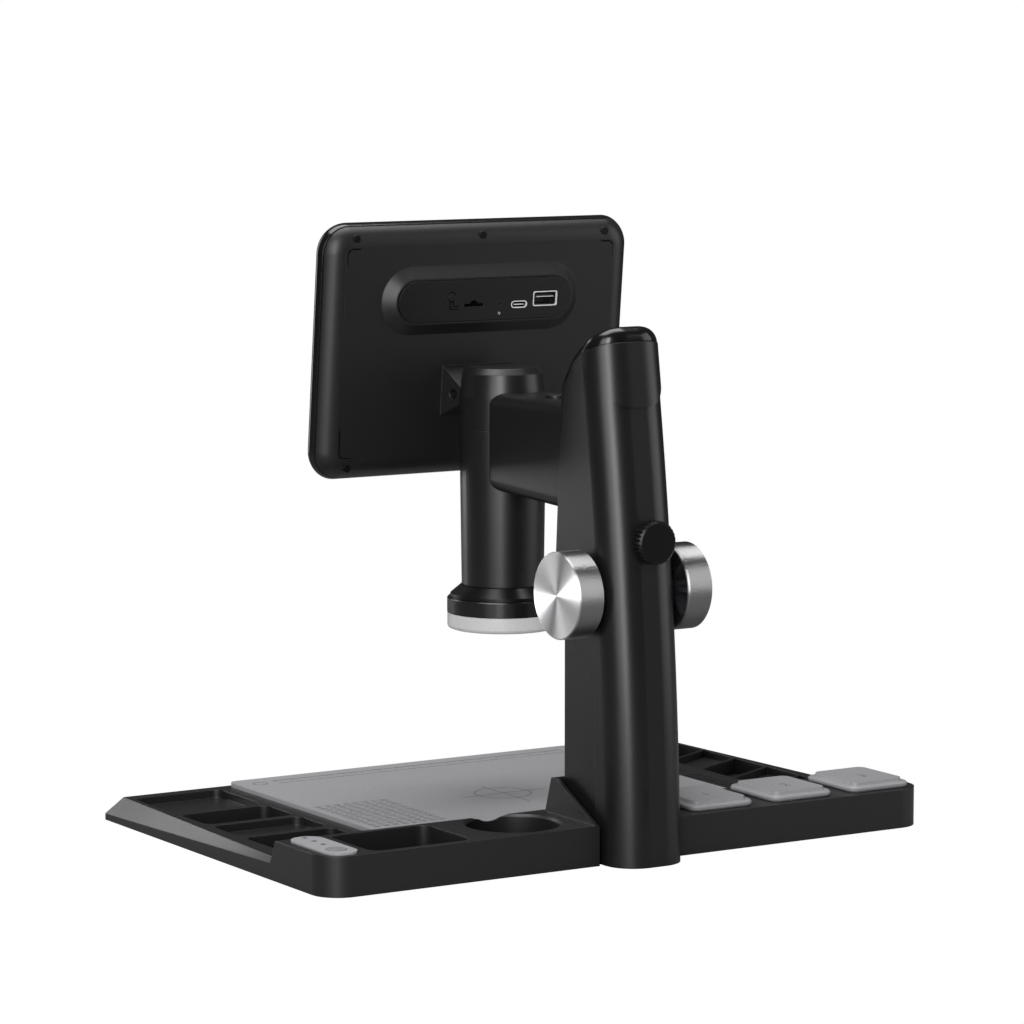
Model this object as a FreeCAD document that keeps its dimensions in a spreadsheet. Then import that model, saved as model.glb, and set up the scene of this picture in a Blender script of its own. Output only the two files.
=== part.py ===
import FreeCAD, Part
import Sketcher
import math
import os
import re

# A bench microscope with its own screen, in millimetres. The origin is the point of the table
# right under the optical axis, +Z is up, the user sits on the -Y side and +X is the user's right.

DRIVING_SIZES = {
    # base
    "foot_height": 1.5, "foot_radius": 9.0, "foot_inset": 24.0,
    "base_width": 336.0, "axis_to_front": 101.6, "axis_to_rear": 122.4,
    "deck_rise": 11.0, "strip_rise": 19.0, "strip_depth": 48.6, "strip_slope": 4.9,
    "rim_front": 3.2, "rim_rear": 7.9, "chamfer_front": 8.7, "chamfer_rear": 0.6,
    "chamfer_nose": 3.4, "rear_corner": 14.0, "front_corner": 2.0,
    "notch_width": 44.0, "collar_width": 48.0, "collar_front": 77.4, "collar_rise": 17.0,
    "collar_gap": 1.5, "plate_thick": 1.5, "plate_inset": 9.0,
    # trays of the base
    "tray_outer": 157.5, "tray_inner": 109.5, "tray_corner": 5.0, "tray_first": -91.5,
    "tray_shallow": 4.0, "tray_deep": 8.0, "tray_web": 3.5, "tray_long": 45.0, "tray_short": 28.6,
    "bin_outer": 159.5, "bin_inner": 127.0, "bin_web": 1.6, "bin_slant": 17.0, "bin_pitch": 28.7,
    "bin_first": -41.1, "bin_front": -92.0, "bin_rear": 64.0,
    "comb_x": 113.5, "comb_length": 9.5, "comb_slot": 1.7, "comb_pitch": 3.85, "comb_depth": 5.0,
    "box_x": 115.5, "box_length": 53.0, "box_y": 97.6, "box_width": 41.5, "box_corner": 6.0,
    "well_depth": 14.0, "cup_x": 52.7, "cup_y": 94.7, "cup_radius": 22.1, "cup_rim": 1.2,
    # mat and control pad
    "mat_width": 203.0, "mat_front": -98.2, "mat_rear": 67.6, "mat_thick": 2.6, "mat_sink": 0.6,
    "mat_corner": 5.0, "grid_x": 98.0, "grid_y": -17.0, "grid_pitch": 5.15, "grid_cell": 3.7,
    "grid_depth": 0.8, "pad_x": 155.3, "pad_y": 97.0, "pad_width": 16.4, "pad_length": 45.0,
    "pad_thick": 2.6, "pad_proud": 0.8, "pad_button_y": 108.6, "pad_button_radius": 4.7,
    "pad_light_radius": 1.3, "pad_light_y": 78.2, "pad_light_pitch": 8.6, "button_travel": 0.8,
    # lens boxes
    "lid_first": 51.5, "lid_pitch": 46.5, "lid_y": 98.2, "lid_width": 35.5, "lid_length": 40.5,
    "lid_corner": 5.0, "lid_thick": 2.9, "lid_plateau": 1.7, "lid_step": 2.6, "lid_plug": 2.0,
    "lid_wall": 3.2, "lens_radius": 13.0, "lens_height": 10.0, "lens_bore": 8.0,
    # column
    "column_width": 39.0, "column_foot_rear": 138.6, "column_lean_mid": 6.85,
    "column_lean_top": 22.0, "column_height": 250.0, "column_round": 15.0, "column_wall": 3.0,
    "column_front_low": 86.3, "chin_front": 77.9, "chin_height": 117.0, "front_lean": 0.064,
    "chin_back_y": 111.2, "chin_back_z": 89.9, "side_inset": 0.8, "cap_front_y": 86.0,
    "cap_front_z": 222.5, "cap_shoulder_y": 95.5, "cap_shoulder_z": 236.0, "cap_rear_z": 246.5,
    "cap_thick": 5.0, "slot_bottom": 106.0, "slot_top": 221.0, "rod_radius": 2.5,
    "rod_spread": 23.0, "rod_y": 93.3, "rod_bottom": 20.0, "rod_top": 230.0,
    # focus drive
    "knob_y": 107.9, "knob_z": 128.3, "knob_radius": 20.6, "knob_face": 37.0, "knob_deep": 13.4,
    "knob_wall": 1.4, "knob_face_wall": 1.6, "hub_radius": 6.0, "spoke_width": 2.0,
    "shaft_radius": 3.0, "running_gap": 0.05, "bush_radius": 6.0, "bush_flange": 9.5,
    "bush_proud": 2.2, "gear_module": 1.0, "gear_teeth": 16.0, "gear_width": 7.0,
    "gear_x": -9.0, "gear_backlash": 0.36, "rack_bottom": 117.0, "rack_pitches": 23.0,
    "rack_base": 2.0, "focus_down": 55.0, "focus_up": 5.0,
    "lock_z": 153.7, "lock_gap": 0.6, "lock_flute": 0.6, "lock_rim": 1.1, "lock_radius": 10.3, "lock_length": 7.6, "lock_screw_radius": 3.0,
    "lock_bush_radius": 5.5, "shoe_radius": 3.6, "shoe_gap": 0.9, "lock_travel": 0.6,
    # carriage and arm
    "carriage_width": 31.0, "carriage_bottom": 112.0, "arm_top": 214.5, "arm_width": 32.4,
    "arm_bottom": 167.5, "arm_bottom_rear": 163.8, "arm_round": 6.0, "arm_rear": 89.8,
    "arm_wall": 2.4, "arm_button_y": 49.0, "arm_button_radius": 5.2, "arm_button_proud": 1.4,
    # optical head
    "tube_radius_low": 20.2, "tube_radius_high": 21.2, "tube_bottom": 119.0, "tube_top": 196.0,
    "tube_wall": 2.2, "head_top": 226.0, "head_flat": 10.9, "head_top_radius": 18.6,
    "collar_radius": 25.8, "ring_radius": 27.35, "ring_top": 113.0, "light_top": 105.4,
    "light_bottom": 97.5, "light_window": 15.0, "lens_cell_radius": 13.0,
    # screen
    "screen_width": 176.0, "screen_height": 126.8, "screen_y": -31.9, "screen_z": 233.9,
    "screen_tilt": 5.8, "screen_back": 8.7, "screen_front": 8.8, "screen_corner": 15.0,
    "screen_edge": 5.0, "screen_wall": 2.4, "screen_split": 3.0, "bezel_side": 9.0,
    "bezel_top": 9.0, "bezel_bottom": 23.0, "panel_z": 23.2, "panel_width": 101.0,
    "panel_height": 22.6, "panel_rise": 4.6, "panel_skirt": 5.6,
    "hinge_y": 16.5, "hinge_z": -20.5, "hinge_radius": 6.0, "hinge_width": 40.0,
    "hinge_end_width": 32.0, "hinge_root_top": -7.0, "hinge_root_bottom": -33.0,
    "tongue_width": 15.0, "tongue_radius": 5.2, "pin_radius": 2.5, "washer_thick": 0.4,
    "key_travel": 0.5, "usb_a_x": -34.2, "usb_c_x": -19.2, "card_x": 7.9, "light_x": -6.5,
    "reset_x": 20.5, "bracket_thick": 3.0, "bracket_reach": 24.0, "battery_thick": 5.0,
}

os.makedirs("parts", exist_ok=True)
doc = FreeCAD.newDocument("microscope")
sheet = doc.addObject("Spreadsheet::Sheet", "Sizes")
for row, (alias, number) in enumerate(DRIVING_SIZES.items(), start=1):
    sheet.set("A%d" % row, alias)
    sheet.set("B%d" % row, str(number))
    sheet.setAlias("B%d" % row, alias)
doc.recompute()


class Sizes:
    """The sheet's cells as plain numbers, for the shapes that are worked out in code."""

    def __getattr__(self, alias):
        return float(sheet.get(alias))


size = Sizes()
WORD = re.compile(r"[a-z_][a-z_0-9]*")
nodes = []


# Building helpers

def linked(text):
    """A formula in plain size names, written for the expression engine."""
    return WORD.sub(lambda m: "Sizes." + m.group() if m.group() in DRIVING_SIZES else m.group(), str(text))


def bind(thing, **formulas):
    """Tie properties of an object to formulas of the sheet's sizes."""
    for prop, text in formulas.items():
        thing.setExpression(prop.replace("__", "."), linked(text))
    return thing


def put(thing, x=0, y=0, z=0):
    return bind(thing, Placement__Base__x=x, Placement__Base__y=y, Placement__Base__z=z)


def turned(thing, axis, angle):
    """Turn an object about its own base point."""
    thing.Placement = FreeCAD.Placement(thing.Placement.Base, FreeCAD.Rotation(FreeCAD.Vector(*axis), angle))
    return thing


def block(name, across, deep, tall, x, y, z):
    """A box centred on x, with its front face at y and its lower face at z."""
    box = doc.addObject("Part::Box", name)
    bind(box, Length=across, Width=deep, Height=tall)
    return put(box, "(%s) - (%s) / 2" % (x, across), y, z)


def rod(name, radius, length, x=0, y=0, z=0, along="z"):
    """A round bar that starts at x, y, z and runs along one axis."""
    bar = doc.addObject("Part::Cylinder", name)
    bind(bar, Radius=radius, Height=length)
    if along == "x":
        turned(bar, (0, 1, 0), 90)
    if along == "y":
        turned(bar, (1, 0, 0), -90)
    return put(bar, x, y, z)


def taper(name, radius_low, radius_high, length, x=0, y=0, z=0):
    cone = doc.addObject("Part::Cone", name)
    bind(cone, Radius1=radius_low, Radius2=radius_high, Height=length)
    return put(cone, x, y, z)


def fuse(name, *things):
    joined = doc.addObject("Part::MultiFuse", name)
    joined.Shapes = list(things)
    return joined


def cut(name, base, *tools):
    """One solid less any number of tools."""
    result = doc.addObject("Part::Cut", name)
    result.Base = base
    result.Tool = tools[0] if len(tools) == 1 else fuse(name + "_tools", *tools)
    return result


def common(name, first, second):
    both = doc.addObject("Part::Common", name)
    both.Base = first
    both.Tool = second
    return both


def rounded_sketch(name, across, deep, corner):
    """A sketch of a rounded rectangle about its own origin, with its three sizes tied to the sheet."""
    sketch = doc.addObject("Sketcher::SketchObject", name)
    half_x, half_y, radius = 20.0, 15.0, 4.0
    ends = [(half_x - radius, -half_y), (half_x, half_y - radius),
            (-half_x + radius, half_y), (-half_x, -half_y + radius)]
    starts = [(-half_x + radius, -half_y), (half_x, -half_y + radius),
              (half_x - radius, half_y), (-half_x, half_y - radius)]
    centres = [(half_x - radius, -half_y + radius), (half_x - radius, half_y - radius),
               (-half_x + radius, half_y - radius), (-half_x + radius, -half_y + radius)]
    for start, end in zip(starts, ends):
        line = Part.LineSegment(FreeCAD.Vector(*start, 0), FreeCAD.Vector(*end, 0))
        sketch.addGeometry(line, False)
    for quarter, centre in enumerate(centres):
        circle = Part.Circle(FreeCAD.Vector(*centre, 0), FreeCAD.Vector(0, 0, 1), radius)
        first = math.radians(90 * quarter - 90)
        sketch.addGeometry(Part.ArcOfCircle(circle, first, first + math.pi / 2), False)
    constrain = Sketcher.Constraint
    for side in range(4):
        arc = side + 4
        sketch.addConstraint(constrain("Tangent", side, 2, arc, 1))
        sketch.addConstraint(constrain("Tangent", arc, 2, (side + 1) % 4, 1))
    for side in (0, 2):
        sketch.addConstraint(constrain("Horizontal", side))
        sketch.addConstraint(constrain("Vertical", side + 1))
    for arc in (5, 6, 7):
        sketch.addConstraint(constrain("Equal", 4, arc))
    sketch.addConstraint(constrain("Symmetric", 4, 3, 6, 3, -1, 1))
    radius_rule = sketch.addConstraint(constrain("Radius", 4, radius))
    across_rule = sketch.addConstraint(constrain("DistanceX", 3, 1, 1, 1, 2 * half_x))
    deep_rule = sketch.addConstraint(constrain("DistanceY", 0, 1, 2, 1, 2 * half_y))
    sketch.setExpression("Constraints[%d]" % deep_rule, linked(deep))
    sketch.setExpression("Constraints[%d]" % across_rule, linked(across))
    sketch.setExpression("Constraints[%d]" % radius_rule, linked(corner))
    return sketch


def raised(name, sketch, height, slope=0):
    """A sketch drawn up into a solid, its walls leaning in by slope degrees."""
    solid = doc.addObject("Part::Extrusion", name)
    solid.Base = sketch
    solid.DirMode = "Normal"
    solid.Solid = True
    solid.TaperAngle = slope
    return bind(solid, LengthFwd=height)


def slab(name, across, deep, corner, height, x=0, y=0, z=0, slope=0):
    """A plate with round corners: x and y are its middle, z is its lower face."""
    sketch = rounded_sketch(name + "_outline", across, deep, corner)
    put(sketch, x, y, z)
    return raised(name, sketch, height, slope)


def upright_slab(name, across, tall, corner, thick, x=0, y=0, z=0, slope=0):
    """The same plate standing up, its round corners seen from the back; y is its front face."""
    sketch = rounded_sketch(name + "_outline", across, tall, corner)
    turned(sketch, (1, 0, 0), -90)
    put(sketch, x, y, z)
    return raised(name, sketch, thick, slope)


def side_profile(name, points, half_width):
    """A prism across X with a straight-sided outline in the YZ plane; points are formulas."""
    sketch = doc.addObject("Sketcher::SketchObject", name + "_outline")
    sketch.Placement = FreeCAD.Placement(FreeCAD.Vector(), FreeCAD.Rotation(90, 0, 90))
    guess = [FreeCAD.Vector(value(y), value(z), 0) for y, z in points]
    for index, corner in enumerate(guess):
        sketch.addGeometry(Part.LineSegment(corner, guess[(index + 1) % len(guess)]), False)
    for index in range(len(guess)):
        sketch.addConstraint(Sketcher.Constraint("Coincident", index, 2, (index + 1) % len(guess), 1))
    for index, (y, z) in enumerate(points):
        for rule, text in (("DistanceX", y), ("DistanceY", z)):
            number = sketch.addConstraint(Sketcher.Constraint(rule, -1, 1, index, 1, value(text)))
            sketch.setExpression("Constraints[%d]" % number, linked(text))
    prism = doc.addObject("Part::Extrusion", name)
    prism.Base = sketch
    prism.DirMode = "Normal"
    prism.Solid = True
    prism.Symmetric = True
    return bind(prism, LengthFwd="2 * (%s)" % half_width)


def value(text):
    """The number that a formula of the sheet's sizes has now."""
    probe.setExpression("number", linked(text))
    probe.recompute()
    return probe.number


def free_shape(name, shape):
    """A shape worked out in code, kept in the document as an object."""
    feature = doc.addObject("Part::Feature", name)
    feature.Shape = shape
    return feature


def keep(thing, label, group="frame"):
    """Name a finished sub-part; its label is the name of its file."""
    thing.Label = label
    nodes.append((thing, label, group))
    return thing


def box_edges(shape, inside):
    """The edges whose middle point satisfies a test, as indexes for a fillet."""
    found = []
    for index, edge in enumerate(shape.Edges, start=1):
        middle = edge.valueAt((edge.FirstParameter + edge.LastParameter) / 2)
        if inside(middle, edge):
            found.append(index)
    return found


def softened(name, base, radius, inside):
    """Round the edges that a test picks."""
    doc.recompute()
    fillet = doc.addObject("Part::Fillet", name)
    fillet.Base = base
    fillet.Edges = [(index, radius, radius) for index in box_edges(base.Shape, inside)]
    return fillet


def chamfered(name, base, reach, inside):
    """Take a narrow slope off the edges that a test picks."""
    doc.recompute()
    chamfer = doc.addObject("Part::Chamfer", name)
    chamfer.Base = base
    chamfer.Edges = [(index, reach, reach) for index in box_edges(base.Shape, inside)]
    return chamfer


probe = doc.addObject("App::FeaturePython", "probe")
probe.addProperty("App::PropertyFloat", "number")

DECK = "foot_height + deck_rise"
STRIP = "foot_height + strip_rise"


# Base tray: one black moulding with a low front deck and a raised rear strip

def deck_section(name, y_text, rim, chamfer):
    """The deck's cross section at one depth: flat sides with a sloped shoulder."""
    half = value("base_width / 2")
    low = value("foot_height")
    rim_z = value("foot_height + " + rim)
    top = value(DECK)
    inner = value("base_width / 2 - " + chamfer)
    y = value(y_text)
    corners = [(half, low), (half, rim_z), (inner, top), (-inner, top), (-half, rim_z), (-half, low)]
    points = [FreeCAD.Vector(x, y, z) for x, z in corners]
    return free_shape(name, Part.Wire(Part.makePolygon(points + points[:1])))


def base_tray():
    sections = [deck_section("deck_front", "-axis_to_front", "rim_front", "chamfer_front"),
                deck_section("deck_rear", "axis_to_rear - strip_depth", "rim_rear", "chamfer_rear")]
    deck = doc.addObject("Part::Loft", "deck")
    deck.Sections = sections
    deck.Solid = True
    deck.Ruled = True
    nose = side_profile("nose_slope", [("-axis_to_front - 1", "foot_height + rim_front"),
                                       ("-axis_to_front", "foot_height + rim_front"),
                                       ("chamfer_nose - axis_to_front", DECK),
                                       ("chamfer_nose - axis_to_front", "foot_height + deck_rise + 1"),
                                       ("-axis_to_front - 1", "foot_height + deck_rise + 1")], "base_width")
    strip_front = "axis_to_rear - strip_depth - strip_slope"
    strip_outline = slab("strip_block", "base_width", "strip_depth + strip_slope + 60", "rear_corner",
                         "strip_rise", 0, "axis_to_rear - (strip_depth + strip_slope + 60) / 2", "foot_height")
    strip_side = side_profile("strip_side", [(strip_front, "foot_height"), (strip_front, "foot_height + rim_rear"),
                                             ("axis_to_rear - strip_depth", STRIP),
                                             ("axis_to_rear + 1", STRIP), ("axis_to_rear + 1", "foot_height")],
                              "base_width")
    strip = common("strip", strip_outline, strip_side)
    collar = side_profile("collar_side", [("collar_front - 4", "foot_height + 1"), ("collar_front", STRIP),
                                          ("collar_front + 5.4", "foot_height + strip_rise + collar_rise"),
                                          ("collar_front + 9.4", "foot_height + strip_rise + collar_rise"),
                                          ("axis_to_rear - 1", STRIP), ("axis_to_rear - 1", "foot_height + 1")],
                          "collar_width / 2")
    body = fuse("tray_body", cut("deck_cut", deck, nose), strip, collar)
    notch = slab("notch", "notch_width", "axis_to_rear - column_front_low + collar_gap + 20", 2, 80, 0,
                 "(axis_to_rear + column_front_low - collar_gap + 20) / 2", "-10")
    bracket_slot = block("bracket_slot", 40, "column_front_low - 50", "foot_height + bracket_thick + 1.5", 0, 55, "-1")
    plate_seat = slab("plate_seat", "base_width - 2 * plate_inset", "axis_to_front + 62", 6,
                      "plate_thick + 1", 0, "(62 - axis_to_front) / 2 + plate_inset / 2", "foot_height - 1")
    tools = [notch, bracket_slot, plate_seat]
    tools += right_trays() + left_bins() + comb_slots() + rear_wells()
    mat_seat = slab("mat_seat", "mat_width + 0.6", "mat_rear - mat_front + 0.6", "mat_corner",
                    "mat_sink + 1", 0, "(mat_rear + mat_front) / 2", "foot_height + deck_rise - mat_sink")
    return keep(cut("base_tray", body, mat_seat, *tools), "base_tray")


def right_trays():
    """Four rounded trays on the right of the deck, shallow and deep in turn."""
    trays = []
    front = "tray_first"
    for number in range(4):
        length = "tray_long" if number == 0 else "tray_short"
        depth = "tray_deep" if number % 2 else "tray_shallow"
        if number == 3:
            length = "axis_to_rear - strip_depth - strip_slope - 4 - (%s)" % front
        trays.append(slab("tray_%d" % (number + 1), "tray_outer - tray_inner", length, "tray_corner",
                          depth + " + 1", "(tray_outer + tray_inner) / 2", "(%s) + (%s) / 2" % (front, length),
                          "foot_height + deck_rise - " + depth, 0))
        front = "(%s) + (%s) + tray_web + 1" % (front, length)
    return trays


def left_bins():
    """Small-parts bins on the left, parted by thin slanted webs."""
    outer, inner = -size.bin_outer, -size.bin_inner
    top = value(DECK)
    slope = size.bin_slant / (size.bin_outer - size.bin_inner)
    bins = []
    for number in range(5):
        near = size.bin_first + (number - 1) * size.bin_pitch + size.bin_web / 2
        far = size.bin_first + number * size.bin_pitch - size.bin_web / 2
        low = [near, near - slope * (inner - outer)]
        high = [far, far - slope * (inner - outer)]
        if number == 0:
            low = [size.bin_front, size.bin_front]
        if number == 4:
            high = [size.bin_rear, size.bin_rear]
        depth = size.tray_shallow if number % 2 else size.tray_deep
        corners = [(inner, low[0]), (outer, low[1]), (outer, high[1]), (inner, high[0])]
        points = [FreeCAD.Vector(x, y, top - depth) for x, y in corners]
        face = Part.Face(Part.makePolygon(points + points[:1]))
        bins.append(free_shape("bin_%d" % (number + 1), face.extrude(FreeCAD.Vector(0, 0, depth + 1))))
    return bins


def comb_slots():
    """Two rows of narrow slots for tweezers and bits, beside the mat."""
    slots = []
    for number in range(26):
        skip = 2 if number > 12 else 0
        y = -60.0 + (number + skip) * size.comb_pitch
        box = Part.makeBox(size.comb_length, size.comb_slot, size.comb_depth + 1)
        box.translate(FreeCAD.Vector(-size.comb_x - size.comb_length / 2, y, value(DECK) - size.comb_depth))
        slots.append(box)
    return [free_shape("comb", Part.makeCompound(slots))]


def rear_wells():
    """What is let into the rear strip: a tray, a round cup, the pad's seat and three lens wells."""
    tray = slab("rear_tray", "box_length", "box_width", "box_corner", "well_depth + 1",
                "box_x", "box_y", "foot_height + strip_rise - well_depth", 0)
    cup = rod("cup", "cup_radius", "well_depth + 1", "cup_x", "cup_y", "foot_height + strip_rise - well_depth")
    rim = taper("cup_lip", "cup_radius", "cup_radius + cup_rim + 0.4", "cup_rim + 0.4",
                "cup_x", "cup_y", "foot_height + strip_rise - cup_rim")
    seat = slab("pad_seat", "pad_width + 0.5", "pad_length + 0.5", "pad_width / 2",
                "pad_thick - pad_proud + 1", "pad_x", "pad_y", "foot_height + strip_rise - pad_thick + pad_proud")
    button_well = rod("pad_button_well", "pad_button_radius - 0.6", 6, "pad_x", "pad_button_y",
                      "foot_height + strip_rise - pad_thick + pad_proud - 4")
    wells = [tray, cup, rim, seat, button_well]
    for number in range(3):
        wells.append(slab("well_%d" % (number + 1), "lid_width - 2 * lid_wall", "lid_length - 2 * lid_wall",
                          "lid_corner - 2", "well_depth + 1", "-lid_first - %d * lid_pitch" % number, "lid_y",
                          "foot_height + strip_rise - well_depth"))
    return wells


def bottom_plate():
    plate = slab("bottom_plate", "base_width - 2 * plate_inset - 0.6", "axis_to_front + 61.4", 5.7,
                 "plate_thick", 0, "(62 - axis_to_front) / 2 + plate_inset / 2", "foot_height")
    relief = block("plate_relief", 41, 30, 10, 0, 54, -1)
    keep(cut("bottom_plate_cut", plate, relief), "bottom_plate")


def rubber_feet():
    places = [(0, 0)]
    for sign in (-1, 1):
        places.append(("%d * (base_width / 2 - foot_inset)" % sign, "foot_inset - axis_to_front"))
        places.append(("%d * (base_width / 2 - foot_inset)" % sign, "axis_to_rear - strip_depth - 34"))
    feet = []
    for number, (x, y) in enumerate(places):
        feet.append(rod("foot_%d" % number, "foot_radius", "foot_height", x, y, 0))
    keep(fuse("rubber_feet", *feet), "rubber_feet")


def work_mat():
    """Soft silicone mat with a block of small square cells for loose screws."""
    mat = slab("mat_plate", "mat_width", "mat_rear - mat_front", "mat_corner", "mat_thick", 0,
               "(mat_rear + mat_front) / 2", "foot_height + deck_rise - mat_sink")
    top = value("foot_height + deck_rise - mat_sink + mat_thick")
    cells = []
    for row in range(12):
        for column in range(8):
            x = size.grid_x - (column + 0.5) * size.grid_pitch
            y = size.grid_y + row * size.grid_pitch
            cell = Part.makeBox(size.grid_cell, size.grid_cell, size.grid_depth + 1)
            cell.translate(FreeCAD.Vector(x - size.grid_cell / 2, y, top - size.grid_depth))
            cells.append(cell)
    keep(cut("work_mat", mat, free_shape("mat_cells", Part.makeCompound(cells))), "work_mat")


def control_pad():
    """Grey key pad in the right rear corner, with its big round button and three lights."""
    z = "foot_height + strip_rise - pad_thick + pad_proud"
    pad = slab("pad_plate", "pad_width", "pad_length", "pad_width / 2 - 0.01", "pad_thick", "pad_x", "pad_y", z)
    hole = rod("pad_hole", "pad_button_radius + 0.25", 10, "pad_x", "pad_button_y", "foot_height + strip_rise - 5")
    lights = []
    for number in range(3):
        y = "pad_light_y + %d * pad_light_pitch" % number
        lights.append(rod("pad_light_%d" % number, "pad_light_radius", "pad_thick - 0.5", "pad_x - 0.6", y,
                          "foot_height + strip_rise - pad_thick + pad_proud + 0.5"))
    light_group = fuse("pad_light_group", *lights)
    keep(cut("control_pad", pad, hole, light_group), "control_pad")
    keep(fuse("pad_lights", *[copy_rod(bar) for bar in lights]), "pad_lights")
    button = rod("pad_button_disc", "pad_button_radius", "pad_thick - 0.7", "pad_x", "pad_button_y",
                 "foot_height + strip_rise - pad_thick + pad_proud + button_travel + 0.1")
    stem = rod("pad_button_stem", 2.2, 4.6, "pad_x", "pad_button_y",
               "foot_height + strip_rise - pad_thick + pad_proud + button_travel - 4")
    keep(fuse("pad_button", button, stem), "pad_button", "pad_button")


def copy_rod(bar):
    """A second bar of the same size and place, as the piece that fills the hole."""
    twin = doc.addObject("Part::Cylinder", bar.Name + "_lens")
    twin.setExpression("Radius", bar.Name + ".Radius - 0.05 mm")
    twin.setExpression("Height", bar.Name + ".Height")
    twin.setExpression("Placement", bar.Name + ".Placement")
    return twin


def lens_boxes():
    """Three wells with a spare lens in each, under lids that lift off."""
    for number in range(3):
        x = "-lid_first - %d * lid_pitch" % number
        name = "lens_lid_%d" % (number + 1)
        plate = slab(name + "_plate", "lid_width", "lid_length", "lid_corner", "lid_thick", x, "lid_y",
                     "foot_height + strip_rise + 0.05")
        edge = chamfered(name + "_edge", plate, size.lid_thick * 0.3, level_edges())
        top = slab(name + "_top", "lid_width - 2 * lid_step", "lid_length - 2 * lid_step", "lid_corner - 1",
                   "lid_plateau + 0.3", x, "lid_y", "foot_height + strip_rise + lid_thick - 0.25", -12)
        plug = slab(name + "_plug", "lid_width - 2 * lid_wall - 0.8", "lid_length - 2 * lid_wall - 0.8",
                    "lid_corner - 2.4", "lid_plug + 0.5", x, "lid_y", "foot_height + strip_rise - lid_plug")
        keep(fuse(name, edge, top, plug), name, name)
        spare = "spare_lens_%d" % (number + 1)
        floor = "foot_height + strip_rise - well_depth"
        barrel = rod(spare + "_barrel", "lens_radius", "lens_height", x, "lid_y", floor)
        knurl = rod(spare + "_grip", "lens_radius + 0.8", "lens_height * 0.4", x, "lid_y", floor)
        bore = rod(spare + "_bore", "lens_bore", "lens_height * 0.5 + %d" % number, x, "lid_y",
                   "%s + lens_height * 0.6" % floor)
        keep(cut(spare, fuse(spare + "_body", barrel, knurl), bore), spare)


def level_edges():
    """A test for edges that lie level."""
    def test(middle, edge):
        ends = [vertex.Point.z for vertex in edge.Vertexes]
        return max(ends) - min(ends) < 1e-6
    return test


# Column: a tall hollow moulding that leans forward towards its top

def rear_of_column(z):
    """The column's rear face is a gentle curve: upright at the foot, leaning in at the top."""
    middle = size.column_lean_mid
    top = size.column_lean_top
    share = z / (size.column_height - 10)
    bend = 2 * (top - 2 * middle)
    straight = top - bend
    return size.column_foot_rear - straight * share - bend * share * share


def column_solid(inset, low, high, front):
    """A straight-fronted prism whose rear face is one long arc, with its two rear edges well rounded."""
    point = FreeCAD.Vector
    rear = [point(0, rear_of_column(z) - inset, z) for z in (low, (low + high) / 2, high)]
    corners = [point(0, front, high), point(0, front, low)]
    outline = [Part.Arc(*rear), Part.LineSegment(rear[2], corners[0]), Part.LineSegment(*corners),
               Part.LineSegment(corners[1], rear[0])]
    side = Part.Face(Part.Wire([line.toShape() for line in outline]))
    width = size.column_width - 2 * inset
    body = side.extrude(point(width, 0, 0))
    body.translate(point(-width / 2, 0, 0))
    long_edges = [edge for edge in body.Edges if isinstance(edge.Curve, Part.Circle)]
    return body.makeFillet(size.column_round - inset, long_edges)


def column_front_prism():
    """What stays of the column in side view below the cap's parting line."""
    height = "foot_height"
    return side_profile("column_side", [("column_front_low", height), ("column_front_low", "chin_height - 9"),
                                        ("chin_front", "chin_height"),
                                        ("chin_front + front_lean * (cap_front_z - chin_height)", "cap_front_z"),
                                        ("cap_shoulder_y", "cap_shoulder_z"),
                                        ("column_foot_rear", "cap_rear_z"),
                                        ("column_foot_rear + 1", "cap_rear_z - 1"),
                                        ("column_foot_rear + 1", height)], "column_width")


def column_shell():
    outer = free_shape("column_outer", column_solid(0, size.foot_height, size.column_height + 12, 60.0))
    body = common("column_body", outer, column_front_prism())
    lower_side = side_profile("lower_side", [("column_front_low - 20", "chin_height"),
                                             ("chin_front", "chin_height"),
                                             ("chin_back_y", "chin_back_z"), ("chin_back_y + 1.8", "chin_back_z - 8"),
                                             ("chin_back_y + 3", "-1"), ("column_front_low - 20", "-1")],
                              "column_width")
    lower_core = block("lower_core", "column_width - 2 * side_inset", 80, 200, 0, "column_front_low", -20)
    inset = cut("lower_inset", lower_side, lower_core)
    wall = size.column_wall
    cavity = free_shape("column_cavity", column_solid(wall, 14.0, size.column_height + 20,
                                                      size.column_front_low + wall))
    ceiling = side_profile("column_ceiling", [("column_front_low - 20", 10), ("column_front_low - 20", "cap_front_z - 2"),
                                              ("cap_shoulder_y", "cap_shoulder_z - 3"),
                                              ("column_foot_rear", "cap_rear_z - 3"), ("column_foot_rear", 10)],
                           "column_width")
    hollow = common("column_hollow", cavity, ceiling)
    slot = block("front_slot", "column_width - 2 * column_wall", "column_front_low - 50", "slot_top - slot_bottom",
                 0, 55, "slot_bottom")
    shaft_hole = rod("shaft_hole", "bush_radius", "column_width + 2", "-column_width / 2 - 1", "knob_y", "knob_z", "x")
    lock_hole = rod("lock_hole", "lock_bush_radius", 60, 0, "knob_y + 6", "lock_z", "y")
    rods = [rod("rod_socket_%d" % side, "rod_radius", 10, "%d * rod_spread / 2" % (2 * side - 1), "rod_y",
                "rod_bottom - 7.2") for side in (0, 1)]
    bracket_seat = block("bracket_seat", "30.6", "column_front_low + bracket_reach - 59.7", "bracket_thick + 1.5",
                         0, 60, "foot_height - 1")
    shell = cut("column_shell", body, inset, hollow, slot, shaft_hole, lock_hole, bracket_seat, *rods)
    keep(shell, "column_shell")


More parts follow.
